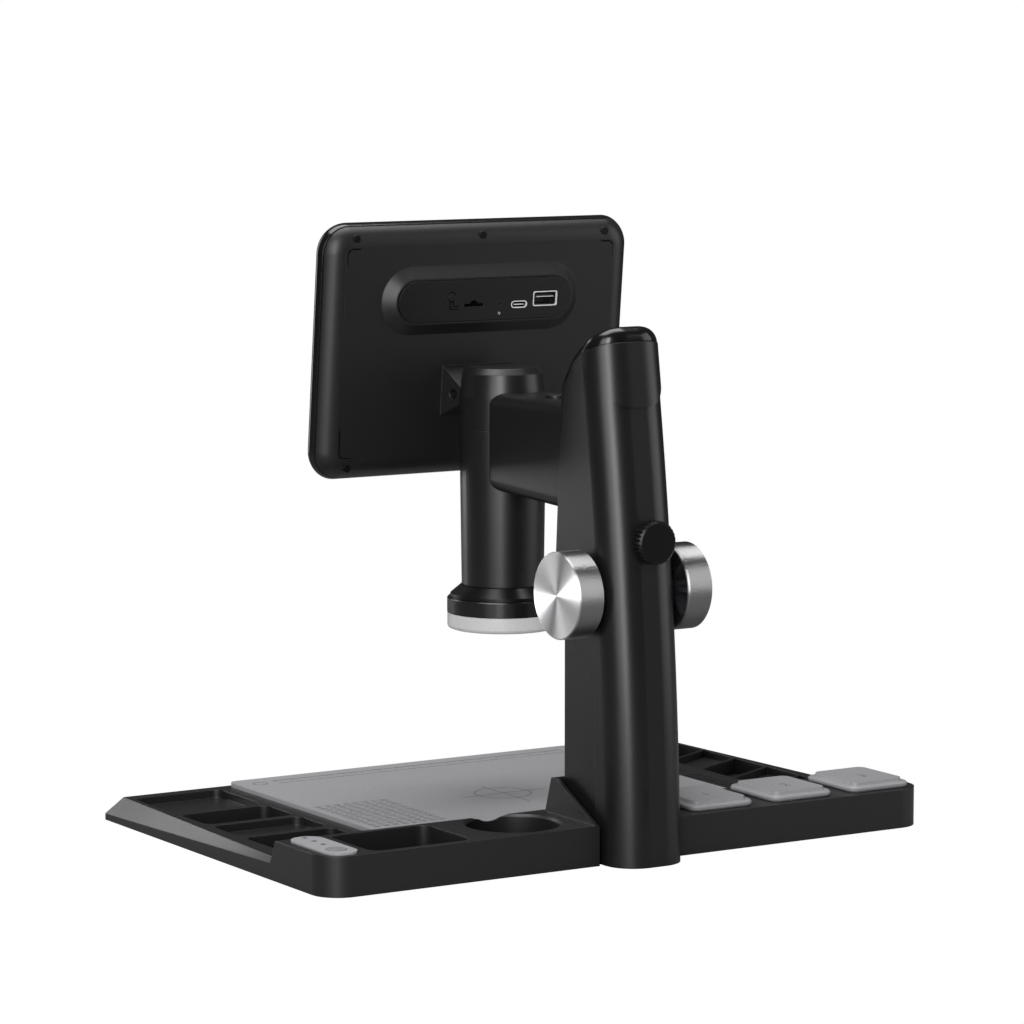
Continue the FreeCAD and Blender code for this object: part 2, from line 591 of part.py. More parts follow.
def column_cap():
    """The cover on top of the column: the same outline, with a parting line and a soft top edge."""
    outer = free_shape("cap_outer", column_solid(0.35, 200.0, size.column_height + 12, 60.0))
    lift = "cap_thick + 0.2"
    front = "chin_front + front_lean * (cap_front_z - chin_height)"
    profile = side_profile("cap_side", [(front + " + 0.2", "cap_front_z + 0.3"),
                                        ("cap_shoulder_y - 5", "cap_shoulder_z + 0.6"),
                                        ("cap_shoulder_y + 1", "cap_shoulder_z + %s - 0.2" % lift),
                                        ("column_foot_rear", "cap_rear_z + %s" % lift),
                                        ("column_foot_rear", "cap_rear_z + 0.25"),
                                        ("cap_shoulder_y", "cap_shoulder_z + 0.25")], "column_width")
    cap = common("cap_blank", outer, profile)

    def top_edges(middle, edge):
        above = middle.z > size.cap_shoulder_z + (middle.y - size.cap_shoulder_y) * 0.244 + 4.0
        return above and middle.y > size.cap_shoulder_y + 1
    keep(softened("column_cap", cap, 2.2, top_edges), "column_cap")


def guide_rods():
    bars = []
    for sign in (-1, 1):
        bars.append(rod("guide_rod_%d" % (sign + 1), "rod_radius - 0.02", "rod_top - rod_bottom",
                        "%d * rod_spread / 2" % sign, "rod_y", "rod_bottom - 7"))
    keep(fuse("guide_rods", *bars), "guide_rods")


def foot_bracket():
    """Steel plate that ties the column's foot to the underside of the base."""
    plate = block("bracket_plate", 30, "column_front_low + bracket_reach - 60.4", "bracket_thick", 0, 60.4,
                  "foot_height + 0.2")
    wide = block("bracket_wide", 38, 20, "bracket_thick", 0, 60.4, "foot_height + 0.2")
    keep(fuse("foot_bracket", plate, wide), "foot_bracket")


# Focus drive: two knobs, one shaft, one pinion

def gear_outline():
    """The pinion's tooth outline, straight flanked, about the shaft's middle."""
    teeth = int(size.gear_teeth)
    pitch_radius = size.gear_module * teeth / 2
    tip = pitch_radius + size.gear_module * 0.85
    root = pitch_radius - size.gear_module * 1.2
    step = 2 * math.pi / teeth
    half_pitch_angle = step / 4 - size.gear_backlash / 2 / pitch_radius
    widths = [(root, half_pitch_angle * 1.5), (pitch_radius, half_pitch_angle), (tip, half_pitch_angle * 0.42)]
    points = []
    for tooth in range(teeth):
        middle = math.pi + tooth * step
        for radius, spread in widths:
            points.append((radius, middle - spread))
        for radius, spread in reversed(widths):
            points.append((radius, middle + spread))
    return [FreeCAD.Vector(0, size.knob_y + r * math.cos(a), size.knob_z + r * math.sin(a)) for r, a in points]


def focus_drive():
    points = gear_outline()
    blank = Part.Face(Part.makePolygon(points + points[:1])).extrude(FreeCAD.Vector(size.gear_width, 0, 0))
    blank.translate(FreeCAD.Vector(size.gear_x - size.gear_width / 2, 0, 0))
    wheel = free_shape("pinion_blank", blank)
    bore = rod("pinion_bore", "shaft_radius", 40, -20, "knob_y", "knob_z", "x")
    keep(cut("pinion", wheel, bore), "focus_pinion", "focus_knobs")
    keep(rod("focus_shaft", "shaft_radius", "2 * (knob_face - knob_face_wall - 1)",
             "-(knob_face - knob_face_wall - 1)", "knob_y", "knob_z", "x"), "focus_shaft", "focus_knobs")
    bushes = []
    for sign in (-1, 1):
        inner = "column_width / 2 - column_wall"
        start = inner if sign > 0 else "-column_width / 2 - bush_proud"
        sleeve = rod("bush_sleeve_%d" % (sign + 1), "bush_radius", "column_wall + bush_proud", start,
                     "knob_y", "knob_z", "x")
        flange_start = "column_width / 2" if sign > 0 else "-column_width / 2 - bush_proud"
        flange = rod("bush_flange_%d" % (sign + 1), "bush_flange", "bush_proud", flange_start,
                     "knob_y", "knob_z", "x")
        hole = rod("bush_bore_%d" % (sign + 1), "shaft_radius + running_gap", "column_width",
                   start + " - 5", "knob_y", "knob_z", "x")
        bushes.append(cut("bush_%d" % (sign + 1), fuse("bush_body_%d" % (sign + 1), sleeve, flange), hole))
    keep(fuse("shaft_bushes", *bushes), "shaft_bushes")
    for side, sign in (("right", 1), ("left", -1)):
        knob_cup(side, sign)
        knob_hub(side, sign)


def knob_start(sign, inner, outer):
    """Where a bar along +X starts, so that it fills inner to outer on one side."""
    return "%s" % inner if sign > 0 else "-(%s)" % outer


def knob_cup(side, sign):
    """Turned aluminium cup, open towards the column."""
    name = "knob_cup_" + side
    inner = "knob_face - knob_deep"
    skin = rod(name + "_skin", "knob_radius", "knob_deep", knob_start(sign, inner, "knob_face"),
               "knob_y", "knob_z", "x")
    soft = chamfered(name + "_soft", skin, 0.6, level_rings())
    hollow = rod(name + "_hollow", "knob_radius - knob_wall", "knob_deep - knob_face_wall + 1",
                 knob_start(sign, inner + " - 1", "knob_face - knob_face_wall"), "knob_y", "knob_z", "x")
    keep(cut(name, soft, hollow), name, "focus_knobs")


def level_rings():
    """A test for full circles."""
    def test(middle, edge):
        return isinstance(edge.Curve, Part.Circle)
    return test


def knob_hub(side, sign):
    """Black moulded insert: a hub with eight ribs and a thin outer band, pressed on the shaft."""
    name = "knob_hub_" + side
    outer = "knob_face - knob_face_wall - 0.1"
    inner = "knob_face - knob_deep + 1.5"
    deep = "(%s) - (%s)" % (outer, inner)
    start = knob_start(sign, inner, outer)
    band = rod(name + "_band", "knob_radius - knob_wall - 0.05", deep, start, "knob_y", "knob_z", "x")
    gap = rod(name + "_gap", "knob_radius - knob_wall - 1.3", "knob_deep + 4", start + " - 2",
              "knob_y", "knob_z", "x")
    ring = cut(name + "_ring", band, gap)
    hub = rod(name + "_core", "hub_radius", deep, start, "knob_y", "knob_z", "x")
    ribs = []
    for number in range(4):
        rib = doc.addObject("Part::Box", "%s_rib_%d" % (name, number))
        length = "2 * (knob_radius - knob_wall - 0.6)"
        bind(rib, Length=deep, Width=length, Height="spoke_width")
        turn = FreeCAD.Rotation(FreeCAD.Vector(1, 0, 0), 45.0 * number)
        centre = FreeCAD.Vector(0, -(size.knob_radius - size.knob_wall - 0.6), -size.spoke_width / 2)
        shift = turn.multVec(centre)
        rib.Placement = FreeCAD.Placement(FreeCAD.Vector(0, 0, 0), turn)
        put(rib, start, "knob_y + (%.6f)" % shift.y, "knob_z + (%.6f)" % shift.z)
        ribs.append(rib)
    bore = rod(name + "_bore", "shaft_radius", "knob_deep + 10", start + " - 5", "knob_y", "knob_z", "x")
    keep(cut(name, fuse(name + "_body", ring, hub, *ribs), bore), name, "focus_knobs")


def lock_parts():
    """Clamp screw at the back: its shoe presses on the carriage and holds the height."""
    grip_start = rear_of_column(size.lock_z - size.lock_radius) + size.lock_gap
    bush_end = grip_start - size.lock_gap / 2
    bush = rod("lock_bush_body", "lock_bush_radius", bush_end - size.knob_y - 6, 0, "knob_y + 6", "lock_z", "y")
    screw_hole = rod("lock_bush_bore", "lock_screw_radius + running_gap", 60, 0, "knob_y", "lock_z", "y")
    keep(cut("lock_bush", bush, screw_hole), "lock_bush")
    grip = knurled_disc("lock_knob_grip", size.lock_radius, grip_start, size.lock_length)
    screw_start = "rod_y + 5.3 + shoe_gap + 4.4"
    socket = rod("lock_knob_socket", "lock_screw_radius", 5.0, 0, grip_start - 1, "lock_z", "y")
    keep(cut("lock_knob", grip, socket), "lock_knob", "lock_screw")
    keep(rod("lock_screw", "lock_screw_radius", "%.3f - (%s)" % (grip_start + 4, screw_start), 0, screw_start,
             "lock_z", "y"), "lock_screw", "lock_screw")
    keep(rod("brake_shoe", "shoe_radius", 4.2, 0, "rod_y + 5.3 + shoe_gap", "lock_z", "y"), "brake_shoe", "brake_shoe")


def knurled_disc(name, radius, start, length):
    """A disc along +Y with shallow grip flutes round its edge and sloped rims."""
    flutes = 30
    point = FreeCAD.Vector
    step = 2 * math.pi / flutes
    corners = []
    for number in range(flutes):
        for share, reach in ((0.0, radius), (0.5, radius), (0.75, radius - size.lock_flute)):
            angle = (number + share) * step
            corners.append(point(reach * math.cos(angle), start, size.lock_z + reach * math.sin(angle)))
    fluted = Part.Face(Part.makePolygon(corners + corners[:1])).extrude(point(0, length, 0))
    rim = size.lock_rim
    outline = [(0, start), (radius - rim, start), (radius, start + rim), (radius, start + length - rim),
               (radius - rim, start + length), (0, start + length)]
    points = [point(x, y, size.lock_z) for x, y in outline]
    blank = Part.Face(Part.makePolygon(points + points[:1])).revolve(point(0, 0, size.lock_z), point(0, 1, 0), 360)
    return free_shape(name, fluted.common(blank))


# Carriage, rack and arm: everything that rides up and down

def carriage():
    plate = block("carriage_plate", "carriage_width", "rod_y + 5.3 - arm_rear", "arm_top - carriage_bottom", 0,
                  "arm_rear", "carriage_bottom")
    bores = []
    for sign in (-1, 1):
        bores.append(rod("carriage_bore_%d" % (sign + 1), "rod_radius + running_gap", 300,
                         "%d * rod_spread / 2" % sign, "rod_y", 0))
    groove = block("rack_groove", "gear_width + 1.4", 20, 200, "gear_x", "rod_y + 3.3", "carriage_bottom - 1")
    keep(cut("carriage", plate, groove, *bores), "carriage", "focus")


def rack():
    """Brass rack: straight teeth at the pinion's pitch, in mesh at rest."""
    module = size.gear_module
    pitch = math.pi * module
    pitch_line = size.knob_y - module * size.gear_teeth / 2
    tip = pitch_line + module * 0.85
    root = pitch_line - module * 1.2
    base = size.rod_y + 3.3
    lean = math.tan(math.radians(20))
    half = pitch / 4 - size.gear_backlash / 4
    count = int(size.rack_pitches)
    below = int((size.knob_z - size.rack_bottom) / pitch)
    first = size.knob_z - (below + 0.5) * pitch
    points = [(base, first - pitch / 2), (root, first - pitch / 2)]
    for tooth in range(count):
        middle = first + tooth * pitch
        points += [(root, middle - half - (pitch_line - root) * lean), (tip, middle - half + (tip - pitch_line) * lean),
                   (tip, middle + half - (tip - pitch_line) * lean), (root, middle + half + (pitch_line - root) * lean)]
    end = first + (count - 0.5) * pitch
    points += [(root, end), (base, end)]
    corners = [FreeCAD.Vector(size.gear_x - size.gear_width / 2 - 0.5, y, z) for y, z in points]
    bar = Part.Face(Part.makePolygon(corners + corners[:1])).extrude(FreeCAD.Vector(size.gear_width + 1, 0, 0))
    keep(free_shape("focus_rack", bar), "focus_rack", "focus")


def arm():
    """Hollow arm from the carriage to the optical head, with soft long edges."""
    profile = side_profile("arm_side", [(0, "arm_bottom"), (0, "arm_top"), ("arm_rear - 0.2", "arm_top"),
                                        ("arm_rear - 0.2", "arm_bottom_rear")], "arm_width / 2")

    def long_edges(middle, edge):
        return abs(abs(middle.x) - size.arm_width / 2) < 0.1 and 30 < middle.y < 60
    soft = softened("arm_soft", profile, size.arm_round, long_edges)
    head_room = rod("arm_head_room", "tube_radius_high + 0.3", 120, 0, 0, 130)
    inside = side_profile("arm_inside", [(30, "arm_bottom + 6"), (30, "arm_top - 5"), ("arm_rear - 4", "arm_top - 5"),
                                         ("arm_rear - 4", "arm_bottom_rear + 6")], "arm_width / 2 - 4")
    hole = rod("arm_button_hole", "arm_button_radius + 0.3", 8, 0, "arm_button_y", "arm_top - 6")
    shell = cut("arm_shell", soft, head_room, inside, hole)
    keep(shell, "arm_shell", "focus")
    keep(rod("arm_button", "arm_button_radius", "arm_button_proud + 3", 0, "arm_button_y", "arm_top - 3"),
         "light_button", "light_button")


# Optical head: turned tube, light ring and lens

def turned_ring(name, outline):
    """A solid turned about the optical axis from an outline of (radius, height) pairs."""
    points = [FreeCAD.Vector(radius, 0, z) for radius, z in outline]
    face = Part.Face(Part.makePolygon(points + points[:1]))
    return free_shape(name, face.revolve(FreeCAD.Vector(0, 0, 0), FreeCAD.Vector(0, 0, 1), 360))


def optical_head():
    low, high = size.tube_radius_low, size.tube_radius_high
    wall = size.tube_wall
    tube = turned_ring("tube_turned", [(low - wall, size.tube_bottom + 0.2), (low, size.tube_bottom + 0.2),
                                       (high, size.tube_top), (high - wall, size.tube_top)])
    keep(tube, "barrel_tube", "focus")
    head = turned_ring("head_turned", [(0, size.tube_top + 0.1), (high, size.tube_top + 0.1),
                                       (high, size.head_top - 14), (size.head_top_radius + 1.2, size.head_top - 3),
                                       (size.head_top_radius - 1.2, size.head_top), (0, size.head_top)])
    flat = block("head_flat_cut", 60, 40, 60, 0, "-head_flat - 40", "tube_top - 1")
    inside = rod("head_inside", "tube_radius_high - tube_wall", "head_top - tube_top - 4.9", 0, 0, "tube_top + 0.05")
    shell = cut("head_cut", head, flat)
    back_wall = block("head_inner_wall", 60, 40, 60, 0, "-head_flat - 37.5", "tube_top - 2")
    hollow = cut("head_hollow", inside, back_wall)
    pin_y, pin_z = hinge_axis()
    knuckle = rod("tongue_knuckle", "tongue_radius", "tongue_width", "-tongue_width / 2", pin_y, pin_z, "x")
    web = block("tongue_web", "tongue_width", -size.head_flat - pin_y + 1.5, 9.0, 0, pin_y, pin_z - 4.5)
    bore = rod("tongue_bore", "pin_radius + running_gap", "tongue_width + 4", "-tongue_width / 2 - 2",
               pin_y, pin_z, "x")
    joined = fuse("head_joined", cut("head_open", shell, hollow), knuckle, web)
    keep(cut("barrel_head", joined, bore), "barrel_head", "focus")
    ring_top, light_top = size.ring_top, size.light_top
    collar = turned_ring("collar_turned", [(low - 6, size.tube_bottom), (low + 0.4, size.tube_bottom),
                                           (size.collar_radius, ring_top + 1.6), (size.collar_radius, ring_top),
                                           (low - 6, ring_top)])
    keep(collar, "barrel_collar", "focus")
    ring = size.ring_radius
    inner = size.light_window
    housing = turned_ring("ring_turned", [(inner - 1.5, ring_top - 0.05), (ring - 0.5, ring_top - 0.05),
                                          (ring, ring_top - 0.6), (ring, light_top), (ring - 2.0, light_top),
                                          (ring - 2.0, ring_top - 2.5), (inner, ring_top - 2.5),
                                          (inner, light_top - 4.0), (inner - 1.5, light_top - 4.0)])
    keep(housing, "light_ring_housing", "focus")
    glow = turned_ring("diffuser_turned", [(inner + 0.2, light_top - 0.1), (ring - 0.1, light_top - 0.1),
                                           (ring - 0.1, size.light_bottom + 1.6), (ring - 0.6, size.light_bottom + 0.5),
                                           (ring - 1.8, size.light_bottom), (inner + 0.2, size.light_bottom)])
    keep(glow, "light_diffuser", "focus")
    board = turned_ring("led_board_turned", [(inner + 0.3, light_top + 0.1), (ring - 2.3, light_top + 0.1),
                                             (ring - 2.3, light_top + 1.7), (inner + 0.3, light_top + 1.7)])
    keep(board, "led_board", "focus")
    cell = size.lens_cell_radius
    lens = turned_ring("lens_cell_turned", [(cell - 3, ring_top - 3), (cell, ring_top - 3), (cell, 150),
                                            (low - wall - 0.3, 150), (low - wall - 0.3, 153), (cell - 3, 153)])
    keep(lens, "objective_cell", "focus")
    glass = turned_ring("lens_glass_turned", [(0, ring_top - 1), (cell - 3.1, ring_top - 1),
                                              (cell - 3.1, ring_top + 2.5), (0, ring_top + 3.6)])
    keep(glass, "objective_glass", "focus")
    camera = turned_ring("camera_turned", [(0, 153.1), (low - wall - 0.5, 153.1), (low - wall - 0.5, 155), (0, 155)])
    keep(camera, "camera_board", "focus")


def hinge_axis():
    """The screen's hinge pin in the object's own frame."""
    lean = math.radians(size.screen_tilt)
    y = size.screen_y + size.hinge_y * math.cos(lean) + size.hinge_z * math.sin(lean)
    z = size.screen_z - size.hinge_y * math.sin(lean) + size.hinge_z * math.cos(lean)
    return y, z


# Screen: built upright about its own middle, then leaned back

screen_nodes = []


def keep_screen(thing, label, group="screen"):
    screen_nodes.append(thing)
    return keep(thing, label, group)


def rear_cover():
    """Soft-edged rear shell with a raised port panel, open at the front."""
    thick = "screen_back + screen_split"
    outer = upright_slab("cover_outer", "screen_width", "screen_height", "screen_corner", thick, 0, "-screen_split", 0)
    soft = softened("cover_soft", outer, size.screen_edge, lambda middle, edge: middle.y > size.screen_back - 0.01)
    mound = loft_pill("panel_mound", size.screen_back - 2.5, size.screen_back + size.panel_rise)
    blend = fuse("cover_with_mound", soft, mound)
    inner = upright_slab("cover_inner", "screen_width - 2 * screen_wall", "screen_height - 2 * screen_wall",
                         "screen_corner - screen_wall", "screen_back + screen_split - screen_wall", 0,
                         "-screen_split", 0)
    inner_soft = chamfered("cover_inner_soft", inner, size.screen_edge - 2.5,
                          lambda middle, edge: middle.y > size.screen_back - size.screen_wall - 0.01)
    pocket = upright_slab("panel_pocket", "panel_width - 8", "panel_height - 6", "(panel_height - 6) / 2 - 0.01",
                          "panel_rise + 3", 0, "screen_back - 3", "panel_z")
    seat = upright_slab("panel_seat", "panel_width - 2", "panel_height - 2", "(panel_height - 2) / 2 - 0.01",
                        3, 0, "screen_back + panel_rise - 1.4", "panel_z")
    boss = hinge_boss()
    posts = [rod("board_post_%d" % number, 3, 5.9, x, "0.85", z, "y")
             for number, (x, z) in enumerate([(-54, -12), (54, -12), (-54, 36), (54, 36)])]
    joined = fuse("cover_joined", cut("cover_shell", blend, inner_soft, pocket, seat), boss, *posts)
    screw_holes = [rod("cover_hole_%d" % number, 2.1, 4, x, "screen_back - 2.2", z, "y")
                   for number, (x, z) in enumerate(screw_places())]
    keep_screen(cut("rear_cover", joined, *screw_holes), "rear_cover")


def screw_places():
    """Screws along the top and bottom edges of the rear cover."""
    x = "screen_width / 2 - 17"
    top = "screen_height / 2 - 7"
    return [(x, top), (0, top), ("-(%s)" % x, top), (x, "-(%s)" % top), ("-(%s)" % x, "-(%s)" % top)]


def pill_wire(width, height, y, z):
    """A long round-ended outline standing in the XZ plane."""
    radius = height / 2
    flat = width / 2 - radius
    point = FreeCAD.Vector
    edges = [Part.LineSegment(point(-flat, y, z - radius), point(flat, y, z - radius)).toShape(),
             Part.Arc(point(flat, y, z - radius), point(flat + radius, y, z), point(flat, y, z + radius)).toShape(),
             Part.LineSegment(point(flat, y, z + radius), point(-flat, y, z + radius)).toShape(),
             Part.Arc(point(-flat, y, z + radius), point(-flat - radius, y, z), point(-flat, y, z - radius)).toShape()]
    return Part.Wire(edges)


def loft_pill(name, low, high):
    """The sloped mound that carries the port panel."""
    skirt = size.panel_skirt
    root = size.screen_back
    wide = pill_wire(size.panel_width + 2 * skirt, size.panel_height + 2 * skirt, root, size.panel_z)
    tall = pill_wire(size.panel_width, size.panel_height, high, size.panel_z)
    foot = pill_wire(size.panel_width + 2 * skirt, size.panel_height + 2 * skirt, low, size.panel_z)
    lower = Part.makeLoft([foot, wide], True, True)
    upper = Part.makeLoft([wide, tall], True, True)
    return free_shape(name, lower.fuse(upper).removeSplitter())


def hinge_boss():
    """Two wedge-shaped cheeks on the cover's back, round about the hinge pin."""
    pin_y, pin_z = size.hinge_y, size.hinge_z
    radius = size.hinge_radius
    root = size.screen_back - 1
    far = math.hypot(pin_y - root, size.hinge_root_top - pin_z)
    turn = math.acos(radius / far) - math.atan2(size.hinge_root_top - pin_z, root - pin_y)
    top = (pin_y + radius * math.cos(turn), pin_z - radius * math.sin(turn))
    far = math.hypot(pin_y - root, size.hinge_root_bottom - pin_z)
    turn = math.acos(radius / far) + math.atan2(size.hinge_root_bottom - pin_z, root - pin_y)
    bottom = (pin_y + radius * math.cos(turn), pin_z + radius * math.sin(turn))
    point = FreeCAD.Vector
    half = size.hinge_width / 2
    edges = [Part.LineSegment(point(-half, root, size.hinge_root_top), point(-half, *top)).toShape(),
             Part.Arc(point(-half, *top), point(-half, pin_y + radius, pin_z), point(-half, *bottom)).toShape(),
             Part.LineSegment(point(-half, *bottom), point(-half, root, size.hinge_root_bottom)).toShape(),
             Part.LineSegment(point(-half, root, size.hinge_root_bottom),
                              point(-half, root, size.hinge_root_top)).toShape()]
    body = free_shape("boss_body", Part.Face(Part.Wire(edges)).extrude(point(size.hinge_width, 0, 0)))
    cheeks = []
    slide = (size.hinge_width - size.hinge_end_width) / 2
    end = pin_y + radius
    for sign in (-1, 1):
        corners = [point(sign * half, root, -60), point(sign * (half + 5), root, -60),
                   point(sign * (half + 5), end + 1, -60), point(sign * (half - slide), end + 1, -60)]
        trim = Part.Face(Part.makePolygon(corners + corners[:1])).extrude(point(0, 0, 80))
        cheeks.append(free_shape("boss_trim_%d" % (sign + 1), trim))
    slot = block("boss_slot", "tongue_width + 2 * washer_thick + 0.3", 40, 60, 0, "screen_back + 1.2", "hinge_z - 30")
    bore = rod("boss_bore", "pin_radius", "hinge_width + 4", "-hinge_width / 2 - 2", "hinge_y", "hinge_z", "x")
    return cut("hinge_boss", body, slot, bore, *cheeks)


def screen_front():
    """Front frame, glass, panel and what lies behind them."""
    depth = "screen_front - screen_split"
    frame = upright_slab("bezel_outer", "screen_width", "screen_height", "screen_corner", depth, 0, "-screen_front", 0)
    soft = chamfered("bezel_soft", frame, 1.2, lambda middle, edge: middle.y < -size.screen_front + 0.01)
    window_z = "(bezel_bottom - bezel_top) / 2"
    window = upright_slab("bezel_window", "screen_width - 2 * bezel_side", "screen_height - bezel_top - bezel_bottom",
                          2, 20, 0, "-screen_front - 2", window_z)
    inner = upright_slab("bezel_inner", "screen_width - 2 * screen_wall", "screen_height - 2 * screen_wall",
                         "screen_corner - screen_wall", "screen_front - screen_split - 1.8", 0,
                         "-screen_front + 1.8", 0)
    key_holes = [rod("key_hole_%d" % number, 3.9, 10, x, "-screen_front - 2", z, "y")
                 for number, (x, z) in enumerate(key_places())]
    keep_screen(cut("front_bezel", soft, window, inner, *key_holes), "front_bezel")
    keep_screen(upright_slab("display_glass", "screen_width - 2 * screen_wall - 10",
                             "screen_height - 2 * screen_wall - 23", 2, 2.0, 0, "-screen_front + 1.9", 7.5),
                "display_panel")
    keep_screen(upright_slab("main_board", 120, 62, 2, 1.6, 0, "-screen_front + 8", 12), "main_board")
    keep_screen(upright_slab("battery", 70, 26, 2, "battery_thick", 40,
                             "screen_back - screen_wall - battery_thick - 0.05", -36), "battery")
    for number, (x, z) in enumerate(key_places()):
        name = "front_key_%d" % (number + 1)
        cap = rod(name + "_cap", 3.7, 2.6, x, "-screen_front - 0.7", z, "y")
        flange = rod(name + "_flange", 4.6, 0.9, x, "-screen_front + 2.0", z, "y")
        keep_screen(fuse(name, cap, flange), name, name)


def key_places():
    """Round keys in a row under the display."""
    return [("(%d - 1.5) * 16" % number, "-screen_height / 2 + 11") for number in range(4)]


def port_panel():
    """Black plate with the card slot, two sockets, a status light and the reset key."""
    top = "screen_back + panel_rise"
    plate = upright_slab("panel_plate", "panel_width - 2.3", "panel_height - 2.3", "(panel_height - 2.3) / 2 - 0.01",
                         1.4, 0, "screen_back + panel_rise - 1.35", "panel_z")
    usb = upright_slab("usb_a_hole", 14.0, 6.6, 0.8, 4, "usb_a_x", "screen_back + panel_rise - 3", "panel_z + 1.4")
    small = upright_slab("usb_c_hole", 9.6, 3.6, 1.79, 4, "usb_c_x", "screen_back + panel_rise - 3", "panel_z - 1.0")
    card = block("card_hole", 12.0, 4, 1.4, "card_x", "screen_back + panel_rise - 3", "panel_z - 3.0")
    finger = rod("card_finger", 2.2, 4, "card_x", "screen_back + panel_rise - 3", "panel_z - 1.6", "y")
    light = rod("light_hole", 0.7, 4, "light_x", "screen_back + panel_rise - 3", "panel_z - 2.3", "y")
    reset = rod("reset_hole", 4.1, 4, "reset_x", "screen_back + panel_rise - 3", "panel_z + 1.0", "y")
    keep_screen(cut("port_panel", plate, usb, small, card, finger, light, reset), "port_panel")
    shell = upright_slab("usb_a_shell", 13.6, 6.2, 0.6, 4.8, "usb_a_x", "screen_back + panel_rise - 5", "panel_z + 1.4")
    mouth = upright_slab("usb_a_mouth", 12.6, 5.2, 0.3, 5, "usb_a_x", "screen_back + panel_rise - 4.2", "panel_z + 1.4")
    tongue = block("usb_a_tongue", 11.0, 3.6, 1.7, "usb_a_x", "screen_back + panel_rise - 4.4", "panel_z + 1.7")
    keep_screen(fuse("usb_a_socket", cut("usb_a_can", shell, mouth), tongue), "usb_a_socket")
    shell = upright_slab("usb_c_shell", 9.2, 3.2, 1.59, 4.8, "usb_c_x", "screen_back + panel_rise - 5", "panel_z - 1.0")
    mouth = upright_slab("usb_c_mouth", 8.5, 2.5, 1.24, 5, "usb_c_x", "screen_back + panel_rise - 4.2", "panel_z - 1.0")
    tongue = block("usb_c_tongue", 6.8, 3.4, 0.7, "usb_c_x", "screen_back + panel_rise - 4.4", "panel_z - 1.35")
    keep_screen(fuse("usb_c_socket", cut("usb_c_can", shell, mouth), tongue), "usb_c_socket")
    body = block("card_body", 13.5, 2.6, 2.2, "card_x", "screen_back + panel_rise - 4.6", "panel_z - 3.4")
    keep_screen(body, "card_socket")
    keep_screen(rod("status_light", 0.62, 1.6, "light_x", "screen_back + panel_rise - 1.6", "panel_z - 2.3", "y"),
                "status_light")
    keep_screen(rod("reset_key", 3.9, 1.35, "reset_x", "screen_back + panel_rise - 1.35", "panel_z + 1.0", "y"),
                "reset_key", "reset_key")


def hinge_pin():
    keep_screen(rod("hinge_pin", "pin_radius", "hinge_end_width + 1", "-hinge_end_width / 2 - 0.5", "hinge_y", "hinge_z",
                    "x"), "hinge_pin")
    washers = []
    for sign in (-1, 1):
        start = "tongue_width / 2 + 0.08" if sign > 0 else "-tongue_width / 2 - 0.08 - washer_thick"
        disc = rod("washer_disc_%d" % (sign + 1), "tongue_radius", "washer_thick", start, "hinge_y", "hinge_z", "x")
        hole = rod("washer_hole_%d" % (sign + 1), "pin_radius", 40, -20, "hinge_y", "hinge_z", "x")
        washers.append(cut("washer_%d" % (sign + 1), disc, hole))
    keep_screen(fuse("friction_washers", *washers), "friction_washers")


def cover_screws():
    screws = []
    for number, (x, z) in enumerate(screw_places()):
        screws.append(rod("cover_screw_%d" % number, 1.9, 2.0, x, "screen_back - 2.2", z, "y"))
    keep_screen(fuse("cover_screws", *screws), "cover_screws")


def lean_screen():
    """Every screen piece gets the same placement: the screen's middle and its lean."""
    turn = FreeCAD.Rotation(FreeCAD.Vector(1, 0, 0), -size.screen_tilt)
    for thing in screen_nodes:
        own = thing.Placement
        place = FreeCAD.Placement(FreeCAD.Vector(0, size.screen_y, size.screen_z), turn)
        for prop, text in list(thing.ExpressionEngine):
            if "Placement" in prop:
                thing.setExpression(prop, None)
        doc.recompute()
        thing.Placement = place.multiply(own)


base_tray()
bottom_plate()
rubber_feet()
work_mat()
control_pad()
lens_boxes()
column_shell()
column_cap()
guide_rods()
foot_bracket()
focus_drive()
lock_parts()
carriage()
rack()
arm()
optical_head()
rear_cover()
screen_front()
port_panel()
hinge_pin()
cover_screws()
doc.recompute()
lean_screen()
doc.recompute()

for thing in doc.Objects:
    if "Invalid" in thing.State or "Error" in thing.State:
        raise RuntimeError("failed object: %s %s" % (thing.Name, thing.State))

for thing, label, group in nodes:
    shape = thing.Shape
    if shape.isNull() or not shape.isValid() or not shape.Solids:
        raise RuntimeError("bad shape: " + label)
    shape.exportStep("parts/%s.step" % label)

print(len(nodes), "sub-parts written")
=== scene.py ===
import math

import bmesh
import bpy
from mathutils import Matrix, Vector


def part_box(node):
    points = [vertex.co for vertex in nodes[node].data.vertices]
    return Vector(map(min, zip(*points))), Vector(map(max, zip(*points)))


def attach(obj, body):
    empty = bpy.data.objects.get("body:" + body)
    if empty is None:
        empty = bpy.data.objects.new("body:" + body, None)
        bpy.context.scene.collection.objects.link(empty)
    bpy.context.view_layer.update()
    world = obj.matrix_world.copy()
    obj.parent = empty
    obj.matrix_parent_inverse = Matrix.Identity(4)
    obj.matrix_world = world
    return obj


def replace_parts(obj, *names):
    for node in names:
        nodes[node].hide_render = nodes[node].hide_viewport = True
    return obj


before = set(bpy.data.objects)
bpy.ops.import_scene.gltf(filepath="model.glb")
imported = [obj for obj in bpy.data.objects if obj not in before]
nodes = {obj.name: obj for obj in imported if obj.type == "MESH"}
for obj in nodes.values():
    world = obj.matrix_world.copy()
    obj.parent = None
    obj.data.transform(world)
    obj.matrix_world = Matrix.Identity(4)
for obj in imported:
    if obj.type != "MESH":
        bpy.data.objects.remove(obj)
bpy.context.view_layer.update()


# Camera
# The photograph is taken from the rear right with a long lens, a little above the object.
camera_data = bpy.data.cameras.new("camera")
